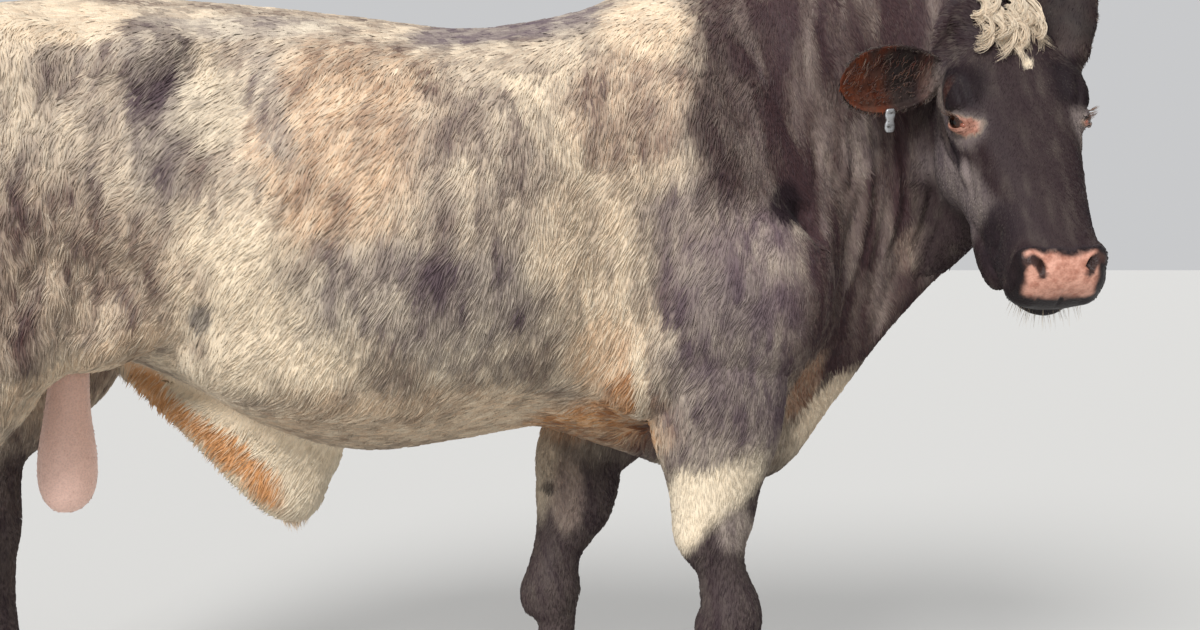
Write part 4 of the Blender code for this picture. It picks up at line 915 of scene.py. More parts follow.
def fine_neck_folds():
    """Thin upright creases side by side behind the jaw."""
    rng = np.random.default_rng(SEED + 2)
    rows = []
    for k in range(11):
        x = 0.355 + 0.024 * k
        top = 1.36 - 0.010 * k + 0.05 * (rng.random() - 0.5)
        bottom = 0.98 - 0.12 * rng.random()
        bow = 0.018 + 0.012 * rng.random()
        line = ((x - 0.012, top), (x + bow, 0.5 * (top + bottom)), (x - 0.020, bottom))
        rows.append((line, 0.0075 + 0.004 * rng.random(), 0.004 + 0.0035 * rng.random()))
    return rows


def body_folds(tree):
    """The furrows of trunk and neck, laid on the trunk from the side."""
    folds = []
    rows = [(fold, side) for fold in (*TRUNK_FOLDS, *BODY_FOLDS) for side in (RIGHT, LEFT)]
    rows += [(fold, RIGHT) for fold in (*NECK_FOLDS, *fine_neck_folds())]
    rows += [(fold, LEFT) for fold in NECK_FOLDS[::2]]
    for (line, half_width, depth), side in rows:
        places = []
        for x, z in line:
            hit = tree.ray_cast(Vector((x, side * 1.0, z)), Vector((0, -side, 0)))[0]
            if hit is not None:
                places.append(tuple(hit))
        if len(places) > 1:
            folds.append((places, half_width, depth, None))
    return folds


def face_folds(tree):
    """The mouth, the nostrils and the creases of the face, laid to where the skin is."""
    head = head_frame()
    turn = head.to_3x3().normalized()
    folds = []
    for line, half_width, depth in (*HEAD_FOLDS, *FACE_FOLDS, (NOSTRIL, 0.0060, 0.016)):
        for side in (RIGHT, LEFT):
            places = [tuple(tree.find_nearest(head @ Vector((x, side * y, z)))[0]) for x, y, z in line]
            way = None
            if line is NOSTRIL:
                way = turn @ Vector((NOSTRIL_WAY[0], side * NOSTRIL_WAY[1], NOSTRIL_WAY[2]))
            folds.append((places, half_width, depth, way))
    return folds


def tree_of(obj):
    mesh = obj.data
    return BVHTree.FromPolygons([v.co for v in mesh.vertices], [tuple(face.vertices) for face in mesh.polygons])


def build_skin():
    """The whole hide but the ears as one skin."""
    forms = []
    trunk_forms(forms)
    trunk = remesh(object_of(forms, "trunk"), 0.011, 30)
    folds = body_folds(tree_of(trunk))
    stump = link("stump", trunk.data.copy())
    cut_away(stump, (0.50, 0, 0), (1, 0, 0))
    forms = []
    skull_forms(forms)
    skull = remesh(object_of([stump.data, *forms], "skull"), 0.0055, 14)
    tree = tree_of(skull)
    folds += face_folds(tree)
    forms = []
    leg_forms(forms)
    face_forms(forms)
    cord_loft(forms, TAIL, steps=4, sides=20)
    limb_loft(forms, SCROTUM, steps=4, sides=24)
    level_loft(forms, SHEATH, steps=4, sides=24)
    skin = remesh(object_of([trunk.data, skull.data, *forms], "skin"), SKIN_VOXEL, 2)
    spots, _ = places_of(skin)
    soften(skin, 14, 1.0 - 0.85 * zones(spots)["head"])
    spots, _ = places_of(skin)
    face = in_head(spots)
    refine(skin, (face[:, 0] > 0.10) & (np.abs(face[:, 1]) < 0.2) & (np.abs(face[:, 2] + 0.1) < 0.2))
    spots, _ = places_of(skin)
    near_eye = np.zeros(len(spots), dtype=bool)
    for side in (RIGHT, LEFT):
        near_eye |= ((spots - np.array(eye_axes(side)[0])) ** 2).sum(1) < 0.038**2
    refine(skin, near_eye)
    spots, _ = places_of(skin)
    press(skin, folds, np.ones(len(spots)))
    set_lids(skin)
    faces = sum(len(face.vertices) - 2 for face in skin.data.polygons)
    thin = skin.modifiers.new("thin", "DECIMATE")
    thin.ratio = SKIN_TRIANGLES / faces
    apply_modifiers(skin)
    keep_largest(skin)
    return skin


def noise_at(spots, scale, seed=0):
    """Smooth noise from -1 to 1. The scale is in cells a metre, for all axes or for each."""
    grid = spots * scale + 11.3 * seed
    cell = np.floor(grid)
    part = grid - cell
    part = part * part * (3.0 - 2.0 * part)
    total = np.zeros(len(spots))
    for corner in range(8):
        step = np.array([corner & 1, corner >> 1 & 1, corner >> 2 & 1])
        key = (cell + step) @ np.array([127.1, 311.7, 74.7]) + 17.17 * seed
        value = np.abs(np.sin(key) * 43758.5453) % 1.0
        weight = np.prod(np.where(step == 1, part, 1.0 - part), axis=1)
        total += weight * value
    return 2.0 * total - 1.0


# Markings of the side of the animal: the patch's middle (x, z), half length, half height, lean in degrees,
# then its shares of pale and of warm hair, how grey its dark hair is, and how strongly it is laid on. Along the top of
# the back that grey is painted sheen.
BODY_PATCHES = (
    (-0.60, 0.90, 0.24, 0.17, 0, 0.95, 0.15, 0.0, 0.9),  # cream flank
    (-0.30, 0.71, 0.42, 0.07, 0, 0.85, 0.35, 0.0, 0.8),  # belly
    (-0.40, 1.19, 0.16, 0.18, 8, 0.72, 0.55, 0.1, 0.7),  # tan of the upper barrel
    (-0.20, 1.14, 0.13, 0.20, 0, 0.50, 0.15, 0.6, 0.7),  # grey roan of the middle
    (-0.27, 0.93, 0.20, 0.11, -8, 0.38, 0.05, 0.8, 0.8),  # grey patch of the lower barrel
    (0.04, 1.02, 0.13, 0.20, 0, 0.85, 0.25, 0.1, 0.8),  # cream behind the shoulder
    (-0.08, 1.22, 0.14, 0.03, -52, 0.95, 0.15, 0.0, 0.6),  # pale line that curves down
    (-0.13, 1.40, 0.20, 0.035, 10, 0.12, 0.0, 1.0, 0.9),  # painted sheen: the slate-blue light of the sky along the top of the back
    (-0.62, 1.39, 0.20, 0.02, 0, 0.70, 0.0, 1.0, 0.7),  # sheen of the loin
    (-0.84, 1.22, 0.20, 0.18, 0, 0.48, 0.15, 0.5, 0.8),  # rump
    (-0.92, 1.40, 0.14, 0.04, 0, 0.95, 0.25, 0.0, 0.9),  # pale tail head
    (-0.74, 1.24, 0.06, 0.17, 6, 0.22, 0.05, 0.6, 0.7),  # dark band down from the hook bone
    (-0.64, 1.25, 0.05, 0.08, -15, 0.90, 0.10, 0.1, 0.7),  # pale spot before it
    (-0.55, 1.27, 0.03, 0.12, 20, 0.35, 0.10, 0.7, 0.7),  # painted shade in the hollow of the flank
    (-0.90, 0.97, 0.20, 0.15, 0, 0.40, 0.25, 0.4, 0.9),  # thigh
    (-0.90, 0.80, 0.16, 0.03, 26, 0.88, 0.35, 0.0, 0.7),  # pale fold below the thigh
    (-0.67, 0.90, 0.02, 0.02, 0, 0.15, 0.0, 0.4, 0.8),  # a dark spot
    (0.08, 1.39, 0.07, 0.06, 0, 0.95, 0.30, 0.0, 0.9),  # withers
    (0.05, 1.24, 0.11, 0.09, 0, 0.50, 0.35, 0.5, 0.8),  # speckled beige below the withers
    (0.22, 0.99, 0.16, 0.17, 0, 0.20, 0.10, 0.9, 0.9),  # shoulder
    (0.03, 0.70, 0.14, 0.06, 12, 0.70, 0.80, 0.0, 0.9),  # tan skin behind the elbow
    (0.01, 0.83, 0.07, 0.07, 0, 0.90, 0.50, 0.0, 0.8),  # armpit
    (0.05, 0.78, 0.04, 0.03, 30, 0.40, 0.90, 0.0, 0.8),  # its rust-brown fold
    (0.21, 0.78, 0.12, 0.20, 0, 0.12, 0.05, 0.8, 0.9),  # upper foreleg
    (0.07, 0.80, 0.014, 0.08, 8, 0.85, 0.10, 0.2, 0.8),  # pale line behind it
)
BRISKET_PATCHES = (
    (0.40, 0.665, 0.05, 0.16, -36, 0.95, 0.22, 0.0, 0.95),  # pinkish white edge of the brisket
    (0.37, 0.76, 0.02, 0.07, -30, 0.45, 0.70, 0.2, 0.7),  # rusty fold behind it
)
NECK_PATCHES = (
    (0.462, 1.19, 0.03, 0.05, 0, 0.26, 0.10, 0.8, 0.6),  # paler hair under the ear
    (0.565, 1.01, 0.03, 0.04, 0, 0.34, 0.30, 0.4, 0.6),  # throat
    (0.315, 1.09, 0.03, 0.04, 0, 0.00, 0.00, 0.0, 0.9),  # painted shade in the hollow at the shoulder's point
)
LEG_PATCHES = (
    (0.195, 0.575, 0.12, 0.045, 50, 0.95, 0.10, 0.0, 0.95),  # white patch over the near knee
    (0.150, 0.560, 0.045, 0.070, 0, 0.95, 0.10, 0.0, 0.95),
    (0.235, 0.520, 0.045, 0.045, 30, 0.40, 0.05, 0.9, 0.8),  # roan below it
    (-0.115, 0.58, 0.035, 0.09, 0, 0.75, 0.15, 0.2, 0.8),  # grey and cream of the far foreleg
    (-0.065, 0.53, 0.035, 0.07, 0, 0.32, 0.20, 0.6, 0.7),
    (-0.100, 0.54, 0.012, 0.015, 0, 0.00, 0.00, 0.0, 0.8),
)
# Patches of the face in its own axes (x, z), the same for both sides but for the forelock's spot
FACE_PATCHES = (
    (0.24, -0.16, 0.10, 0.06, 0, 0.13, 0.00, 0.9, 0.70),  # cheek
    (0.27, -0.12, 0.08, 0.045, 20, 0.21, 0.00, 1.0, 0.70),  # below the eye
    (0.09, -0.06, 0.06, 0.025, 0, 0.30, 0.10, 0.8, 0.60),  # temple
    (0.19, -0.06, 0.05, 0.03, 10, 0.22, 0.00, 1.0, 0.60),  # grey skin round the eye
    (0.13, -0.03, 0.05, 0.03, 0, 0.00, 0.00, 0.0, 0.90),  # above the eye
    (0.21, -0.10, 0.03, 0.02, 0, 0.00, 0.00, 0.1, 0.90),  # dark patch below the eye
    (0.40, -0.11, 0.06, 0.06, 0, 0.00, 0.00, 0.1, 0.80),  # sides of the nose
)


def lay_patch(marks, row, across, up, warp, where):
    """Lays one soft-edged patch over the markings."""
    x, z, half_length, half_height, lean, pale, warm, grey, strength = row
    turn = math.radians(lean)
    u = (across - x) * math.cos(turn) + (up - z) * math.sin(turn)
    v = (up - z) * math.cos(turn) - (across - x) * math.sin(turn)
    reach = np.hypot(u / half_length, v / half_height) + warp
    share = (strength * where * smooth_step(-reach, -1.30, -0.70))[:, None]
    marks[:, :3] += (np.array([pale, warm, grey]) - marks[:, :3]) * share


def lay_zone(marks, share, pale, warm, grey):
    marks[:, :3] += (np.array([pale, warm, grey]) - marks[:, :3]) * share[:, None]


def markings(spots, found=None):
    """Shares of pale hair, of warm hair and of grey in the dark hair, and of bare pink skin, at each place, with
    painted sheen along the back and painted shade in the hollows of the flank, the shoulder's point and the nostrils.
    """
    found = found or zones(spots)
    x, y, z = spots.T
    marks = np.zeros((len(spots), 4))
    # The left side is marked like the right one, but its patches lie elsewhere
    left = smooth_step(y, -0.05, 0.05)
    across = x + left * (0.10 + 0.05 * noise_at(spots, 2.2, 5))
    up = z - left * 0.05 * noise_at(spots, 2.6, 6)
    warp = 0.30 * noise_at(spots, 9.0, 1) + 0.16 * noise_at(spots, 28.0, 2)
    everywhere = np.ones(len(spots))
    lay_zone(marks, everywhere, 0.62, 0.18, 0.35)
    for row in BODY_PATCHES:
        lay_patch(marks, row, across, up, warp, everywhere)
    mixed = 4.0 * marks[:, 0] * (1.0 - marks[:, 0])
    mottle = 0.30 * noise_at(spots, np.array([24.0, 24.0, 13.0]), 14) + 0.30 * noise_at(spots, np.array([75.0, 75.0, 24.0]), 15)
    marks[:, 0] = np.clip(marks[:, 0] + mottle * (0.25 + 0.75 * mixed), 0, 1)
    dark_front = smooth_step(x + 0.03 * noise_at(spots, 14.0, 3), 0.135, 0.185)
    dark_front *= smooth_step(z + 0.05 * noise_at(spots, 7.0, 4), 1.02, 1.12) + smooth_step(x, 0.30, 0.38)
    lay_zone(marks, np.clip(dark_front, 0, 1), 0.05, 0.12, 0.20)
    for row in BRISKET_PATCHES:
        lay_patch(marks, row, x, z, warp, everywhere)
    for row in NECK_PATCHES:
        lay_patch(marks, row, x, z, warp, 1.0 - left)
    bands = noise_at(spots, np.array([34.0, 34.0, 4.5]), 19) + 0.6 * noise_at(spots, np.array([80.0, 80.0, 9.0]), 20)
    marks[:, 0] += found["neck"] * 0.10 * np.clip(bands, -0.5, 1.0)
    marks[:, 2] += found["neck"] * 0.35 * np.clip(bands, 0.0, 1.0)
    leg = found["leg"]
    lay_zone(marks, leg, 0.04, 0.04, 0.20)
    for row in LEG_PATCHES:
        lay_patch(marks, row, x, z, warp, smooth_step(-z, -0.70, -0.62))
    face = found["face_places"]
    lay_zone(marks, found["head"], 0.01, 0.04, 0.08)
    drawn = noise_at(face, np.array([16.0, 80.0, 80.0]), 22)
    marks[:, 0] += found["head"] * 0.03 * np.clip(drawn, 0, 1)
    for row in FACE_PATCHES:
        aside = found["head"] * smooth_step(np.abs(face[:, 1]), 0.035, 0.07)
        lay_patch(marks, row, face[:, 0], face[:, 2], warp, aside)
    spot = np.hypot((face[:, 0] - 0.105) / 0.012, (face[:, 1] - 0.018) / 0.009) + 0.5 * warp
    lay_zone(marks, found["head"] * smooth_step(-spot, -1.2, -0.7), 0.90, 0.15, 0.0)
    lay_zone(marks, found["tail"], 0.55, 0.10, 0.4)
    # The sheath is cream with a tan band down its middle
    lay_zone(marks, found["sheath"], 1.0, 0.10, 0.0)
    band = np.abs(z - 0.645 + 0.894 * (x + 0.70) + 0.02 * noise_at(spots, 16.0, 18))
    band_share = smooth_step(-band, -0.042, -0.018) * smooth_step(-x, 0.565, 0.61)
    lay_zone(marks, found["sheath"] * band_share, 0.95, 0.95, 0.0)
    lay_zone(marks, found["scrotum"], 1.0, 1.0, 0.0)
    lay_zone(marks, found["muzzle"], 0.0, 0.0, 0.3)
    lay_zone(marks, found["pink"], 1.0, 0.0, 0.0)
    # The nostril's hollow is painted near-black, as painted shade inside it
    lay_zone(marks, found["nostril"], 0.06, 0.0, 0.0)
    lay_zone(marks, found["lids"] ** 1.5, 0.70, 0.0, 0.0)
    inside, base = found["ear_inside"], found["ear_base"]
    lay_zone(marks, found["ear"], 0.02, 0.05, 0.0)
    lay_zone(marks, inside * (1 - base), 0.03, 1.0, 0.0)
    marks[:, 1] *= 1.0 - found["ear"] * np.clip(0.42 + 0.60 * noise_at(spots, 38.0, 21), 0, 1)
    marks[:, 3] = np.clip(found["muzzle"] + found["scrotum"] + found["lids"], 0, 1)
    return marks


def streaks(spots):
    """Fine streaks of paler and darker hair that follow the coat down the sides."""
    lean = spots.copy()
    lean[:, 0] += 0.30 * spots[:, 2]
    fine = noise_at(lean, np.array([110.0, 110.0, 17.0]), 7)
    broad = noise_at(lean, np.array([34.0, 34.0, 7.0]), 8)
    return 0.65 * fine + 0.45 * broad


# The way the hair points: down and a little back on the barrel, more so on the flank
def coat_lie(spots, normals, found):
    x, y, z = spots.T
    count = len(spots)
    ways = np.tile([-0.32, 0.0, -0.95], (count, 1))

    def turn_to(share, way):
        ways[:] += (np.asarray(way) - ways) * share[:, None]

    turn_to(smooth_step(-x, 0.30, 0.60), (-0.62, 0.0, -0.78))
    turn_to(smooth_step(-x, 0.80, 0.95), (-0.12, 0.0, -1.0))
    turn_to(smooth_step(-normals[:, 2], 0.55, 0.85) * (1 - found["head"]), (-1.0, 0.0, -0.1))
    turn_to(smooth_step(normals[:, 2], 0.75, 0.95) * (1 - found["head"]), (-1.0, 0.0, -0.2))
    turn_to(found["neck"] * smooth_step(x, 0.26, 0.36), (0.30, 0.0, -0.95))
    turn_to(found["leg"], (-0.06, 0.0, -1.0))
    turn_to(found["tail"], (-0.1, 0.0, -1.0))
    head = head_frame().to_3x3().normalized()
    face = found["face_places"]
    down, out = np.array(head.col[0]), np.array(head.col[2])
    left = np.array(head.col[1])
    sideways = np.clip(face[:, 1] / 0.10, -1, 1)
    rise = smooth_step(-face[:, 0], -0.11, -0.03)
    lie = down[None, :] * (1.0 - 1.2 * rise)[:, None] + left[None, :] * (0.55 * sideways)[:, None]
    lie -= out[None, :] * (0.55 * np.abs(sideways))[:, None]
    ways += (lie - ways) * found["head"][:, None]
    ways -= normals * (ways * normals).sum(1)[:, None]
    ways /= np.maximum(np.linalg.norm(ways, axis=1), 1e-6)[:, None]
    side = np.cross(normals, ways)
    thigh = smooth_step(-x, 0.72, 0.85) * smooth_step(z, 0.75, 0.90)
    swirl = 0.34 * noise_at(spots, 18.0, 9) + (0.24 + 0.45 * thigh) * noise_at(spots, 55.0, 10)
    return ways * np.cos(swirl)[:, None] + side * np.sin(swirl)[:, None]


def tuft_template():
    """The four triangles of one tuft: two root points, a ridge and a tip, along X."""
    bm = bmesh.new()
    places = ((0.0, -1.0, -0.25), (0.0, 1.0, -0.25), (0.42, 0.0, 0.75), (1.0, 0.0, 0.0))
    verts = [bm.verts.new(place) for place in places]
    bmesh.ops.convex_hull(bm, input=verts)
    bmesh.ops.recalc_face_normals(bm, faces=bm.faces)
    bm.verts.index_update()
    shape = np.array([v.co[:] for v in bm.verts])
    faces = np.array([[v.index for v in face.verts] for face in bm.faces])
    bm.free()
    return shape, faces


def joined(name, spots, faces):
    """One mesh object of many small forms, from arrays of places and of triangles."""
    mesh = bpy.data.meshes.new(name)
    mesh.vertices.add(len(spots))
    mesh.vertices.foreach_set("co", spots.ravel())
    mesh.loops.add(faces.size)
    mesh.loops.foreach_set("vertex_index", faces.ravel())
    mesh.polygons.add(len(faces))
    mesh.polygons.foreach_set("loop_start", np.arange(0, faces.size, 3))
    mesh.update(calc_edges=True)
    return link(name, mesh)


def give_colours(obj, name, values):
    """A colour attribute on the points."""
    layer = obj.data.attributes.new(name, "FLOAT_COLOR", "POINT")
    layer.data.foreach_set("color", np.asarray(values, dtype=np.float32).ravel())


class Unwrap:
    """A flat unwrap of the hide's own shape, to look up where a root lies on it."""

    def __init__(self, skin):
        coarse = link("coarse", skin.data.copy())
        thin = coarse.modifiers.new("thin", "DECIMATE")
        thin.ratio = 9000 / len(coarse.data.polygons)
        apply_modifiers(coarse)
        bpy.context.view_layer.objects.active = coarse
        coarse.select_set(True)
        bpy.ops.object.mode_set(mode="EDIT")
        bpy.ops.mesh.select_all(action="SELECT")
        bpy.ops.uv.smart_project(angle_limit=math.radians(66), island_margin=0.004)
        bpy.ops.object.mode_set(mode="OBJECT")
        mesh = coarse.data
        mesh.calc_loop_triangles()
        count = len(mesh.loop_triangles)
        loops = np.empty(count * 3, dtype=np.int64)
        mesh.loop_triangles.foreach_get("loops", loops)
        corners = np.empty(count * 3, dtype=np.int64)
        mesh.loop_triangles.foreach_get("vertices", corners)
        flat = np.empty(len(mesh.loops) * 2)
        mesh.uv_layers[0].data.foreach_get("uv", flat)
        self.flat = flat.reshape(-1, 2)[loops.reshape(-1, 3)]
        spots, _ = places_of(coarse)
        self.corners = spots[corners.reshape(-1, 3)]
        self.tree = BVHTree.FromPolygons(spots.tolist(), corners.reshape(-1, 3).tolist())
        bpy.data.objects.remove(coarse, do_unlink=True)

    def at(self, roots):
        """The unwrap's place of the hide's point nearest to each root."""
        found = [self.tree.find_nearest(Vector(root)) for root in roots.tolist()]
        index = np.array([hit[2] for hit in found])
        places = np.array([hit[0][:] for hit in found])
        a, b, c = self.corners[index].transpose(1, 0, 2)
        ab, ac, ap = b - a, c - a, places - a
        d00, d01, d11 = (ab * ab).sum(1), (ab * ac).sum(1), (ac * ac).sum(1)
        d20, d21 = (ap * ab).sum(1), (ap * ac).sum(1)
        base = np.maximum(d00 * d11 - d01 * d01, 1e-18)
        v = np.clip((d11 * d20 - d01 * d21) / base, 0, 1)
        w = np.clip((d00 * d21 - d01 * d20) / base, 0, 1)
        u = np.clip(1.0 - v - w, 0, 1)
        return (self.flat[index] * np.stack([u, v, w], axis=1)[:, :, None]).sum(1)


BAKE_PATCH = 0.003


def give_bake_map(obj, unwrap, roots, owner, within):
    """The map OFBake: each small form is a patch at its root's place on the unwrap."""
    flat = unwrap.at(roots)[owner] + (within - 0.5) * BAKE_PATCH
    corners = np.empty(len(obj.data.loops), dtype=np.int64)
    obj.data.loops.foreach_get("vertex_index", corners)
    layer = obj.data.uv_layers.new(name="OFBake")
    layer.data.foreach_set("uv", np.clip(flat[corners], 0.0, 1.0).ravel().astype(np.float32))


def scatter(rng, obj, density, count):
    """Places spread evenly over a mesh by a density at its points, with the normals there."""
    mesh = obj.data
    mesh.calc_loop_triangles()
    corners = np.empty(len(mesh.loop_triangles) * 3, dtype=np.int64)
    mesh.loop_triangles.foreach_get("vertices", corners)
    corners = corners.reshape(-1, 3)
    spots, normals = places_of(obj)
    a, b, c = spots[corners].transpose(1, 0, 2)
    area = 0.5 * np.linalg.norm(np.cross(b - a, c - a), axis=1) * density[corners].mean(1)
    total = np.cumsum(area)
    picks = (np.arange(count) + rng.random(count)) / count * total[-1]
    index = np.minimum(np.searchsorted(total, picks), len(area) - 1)
    r, s = np.sqrt(rng.random(count)), rng.random(count)
    shares = np.stack([1 - r, r * (1 - s), r * s], axis=1)[:, :, None]
    roots = (spots[corners[index]] * shares).sum(1)
    ups = (normals[corners[index]] * shares).sum(1)
    ups /= np.linalg.norm(ups, axis=1)[:, None]
    return roots, ups


TUFTS = 300000
TUFT_PIECES = 7


def build_coat(skin, unwrap, material):
    """The short coat: small overlapping tufts that lie along the hide."""
    rng = np.random.default_rng(SEED)
    spots, _ = places_of(skin)
    found = zones(spots)
    density = 1.0 + 2.2 * found["head"] + 0.5 * found["leg"] + 0.6 * found["neck"]
    density *= 1.0 - found["muzzle"]
    density *= 1.0 - 0.85 * np.maximum(found["scrotum"], found["lids"])
    for side in (RIGHT, LEFT):
        middle, out, *_ = (np.array(axis) for axis in eye_axes(side))
        density *= smooth_step(np.linalg.norm(spots - middle - out * 0.008, axis=1), 0.019, 0.026)
    roots, ups = scatter(rng, skin, density, TUFTS)
    found = zones(roots)
    lie = coat_lie(roots, ups, found)
    marks = markings(roots, found)
    face = found["face_places"]
    length = np.full(TUFTS, 0.023)
    length += (0.014 - length) * found["neck"]
    length += (0.012 - length) * found["leg"]
    length += (0.009 - length) * smooth_step(-roots[:, 2], -0.34, -0.20)
    length += ((0.0062 + 0.010 * smooth_step(-face[:, 0], -0.13, -0.02)) - length) * found["head"]
    length += (0.005 - length) * np.maximum(smooth_step(face[:, 0], 0.36, 0.42) * found["head"], found["scrotum"])
    length += (0.008 - length) * found["ear"]
    length *= 0.70 + 0.60 * rng.random(TUFTS)
    width = (0.045 + 0.030 * rng.random(TUFTS)) * length + 0.00025
    lift = np.radians(5.0 + 8.0 * rng.random(TUFTS))
    side = np.cross(ups, lie)
    curl = 0.35 * (rng.random(TUFTS) - 0.5) + 0.30 * noise_at(roots, 90.0, 12)
    shape, faces = tuft_template()
    along, across, above = shape.T
    reach = (length[:, None] * along[None, :])[:, :, None]
    rise = np.sin(lift)[:, None] * np.minimum(along, 0.42) * 1.6 + np.sin(lift * 0.25)[:, None] * along
    places = roots[:, None, :] + lie[:, None, :] * reach
    places = places + ups[:, None, :] * (rise * length[:, None] + above * width[:, None] - 0.0010 * (along < 0.1))[:, :, None]
    sway = across * width[:, None] + (curl * length)[:, None] * along**2 * 0.5
    places = places + side[:, None, :] * sway[:, :, None]
    facing = ups[:, None, :] + side[:, None, :] * (0.45 * across)[None, :, None] + lie[:, None, :] * (0.15 * along)[None, :, None]
    facing /= np.linalg.norm(facing, axis=2, keepdims=True)
    chance = rng.random(TUFTS)
    mixed = 4.0 * marks[:, 0] * (1.0 - marks[:, 0])
    roan = (0.15 + 0.85 * mixed) * (0.20 * (chance - 0.5) + 0.18 * streaks(roots))
    marks[:, 0] = np.clip(marks[:, 0] + roan, 0, 1)
    marks[:, 1] = np.clip(marks[:, 1] * (0.6 + 0.8 * rng.random(TUFTS)), 0, 1)
    points = len(shape)
    pieces = []
    for k in range(TUFT_PIECES):
        chosen = slice(k, None, TUFT_PIECES)
        some = places[chosen]
        count = len(some)
        fan = (faces[None, :, :] + points * np.arange(count)[:, None, None]).reshape(-1, 3)
        obj = joined(f"coat_{k + 1}", some.reshape(-1, 3), fan)
        owner = np.repeat(np.arange(count), points)
        obj.data.normals_split_custom_set_from_vertices(facing[chosen].reshape(-1, 3))
        give_colours(obj, "marks", marks[chosen][owner])
        tuft = np.zeros((count * points, 4))
        tuft[:, 0] = chance[chosen][owner]
        tuft[:, 1] = np.tile(along, count)
        give_colours(obj, "tuft", tuft)
        within = np.stack([np.tile(along, count), np.tile(across * 0.5 + 0.5, count)], axis=1)
        give_bake_map(obj, unwrap, roots[chosen], owner, within)
        dress(obj, material)
        pieces.append(obj)
    return pieces


def strands(name, unwrap, material, paths, widths, marks, chance, soft=True):
    """Long hair: paths is (hairs, points, 3) and widths the half width at each point."""
    hairs, steps, _ = paths.shape
    along = np.gradient(paths, axis=1)
    along /= np.maximum(np.linalg.norm(along, axis=2, keepdims=True), 1e-9)
    hint = np.tile([0.31, 0.87, 0.38], (hairs, 1))
    side = np.cross(along, hint[:, None, :])
    side /= np.maximum(np.linalg.norm(side, axis=2, keepdims=True), 1e-9)
    up = np.cross(along, side)
    turns = np.array([0.0, 2.094, 4.189])
    ring = side[:, :, None, :] * np.cos(turns)[None, None, :, None] + up[:, :, None, :] * np.sin(turns)[None, None, :, None] * 0.6
    spots = paths[:, :, None, :] + ring * widths[:, :, None, None]
    spots = spots.reshape(hairs, steps * 3, 3)
    faces = [(2, 1, 0)]
    for k in range(steps - 1):
        for j in range(3):
            a, b = 3 * k + j, 3 * k + (j + 1) % 3
            faces += [(a, b, b + 3), (a, b + 3, a + 3)]
    end = 3 * (steps - 1)
    faces.append((end, end + 1, end + 2))
    faces = np.array(faces)
    fan = (faces[None, :, :] + steps * 3 * np.arange(hairs)[:, None, None]).reshape(-1, 3)
    obj = joined(name, spots.reshape(-1, 3), fan)
    owner = np.repeat(np.arange(hairs), steps * 3)
    share = np.tile(np.repeat(np.linspace(0, 1, steps), 3), hairs)
    give_colours(obj, "marks", marks[owner])
    tuft = np.zeros((len(owner), 4))
    tuft[:, 0] = chance[owner]
    tuft[:, 1] = share
    give_colours(obj, "tuft", tuft)
    within = np.stack([share, np.tile(np.tile([0.2, 0.5, 0.8], steps), hairs)], axis=1)
    give_bake_map(obj, unwrap, paths[:, 0], owner, within)
    dress(obj, material)
    return obj


# The right ear's plain metal tag, clipped to its lower edge
TAG_SHARE = 0.55
TAG_HALF_LENGTH = 0.020
TAG_HALF_WIDTH = 0.010
TAG_THICKNESS = 0.006

# A claw from its sole to under the coronet: (height, middle ahead of the foot's, half length, half width, tilt)
CLAW = (
    (0.000, 0.016, 0.066, 0.0310, 0.00),
    (0.012, 0.014, 0.066, 0.0315, 0.00),
    (0.034, 0.006, 0.060, 0.0305, 0.10),
    (0.054, -0.002, 0.053, 0.0280, 0.18),
    (0.068, -0.006, 0.046, 0.0235, 0.22),
)
CLAW_APART = {"outer": 1, "inner": -1}
CLAW_SPREAD = 0.0345
DEWCLAW_RADII = (0.015, 0.012, 0.018)


def claw_ring(sides, x, y, z, half_length, half_width, tilt):
    """A level or tilted section of a claw, blunt at the heel and drawn out at the toe."""
    ring = []
    for k in range(sides):
        angle = 2 * math.pi * k / sides
        ahead = math.cos(angle) * half_length
        narrow = 1.0 - 0.22 * max(math.cos(angle), 0.0) ** 2
        across = signed_power(math.sin(angle), 0.85) * half_width * narrow
        ring.append(Vector((x + ahead, y + across, z + tilt * ahead)))
    return ring


class Value:
    """A value inside a finish, so that its sums are written as sums."""

    def __init__(self, finish, socket):
        self.finish = finish
        self.socket = socket

    def sum(self, operation, first, second):
        return self.finish.node("Math", {"operation": operation}, {0: first, 1: second})

    def __add__(self, other):
        return self.sum("ADD", self, other)

    def __radd__(self, other):
        return self.sum("ADD", other, self)

    def __sub__(self, other):
        return self.sum("SUBTRACT", self, other)

    def __rsub__(self, other):
        return self.sum("SUBTRACT", other, self)

    def __mul__(self, other):
        return self.sum("MULTIPLY", self, other)

    def __rmul__(self, other):
        return self.sum("MULTIPLY", other, self)

    def __pow__(self, other):
        return self.sum("POWER", self, other)


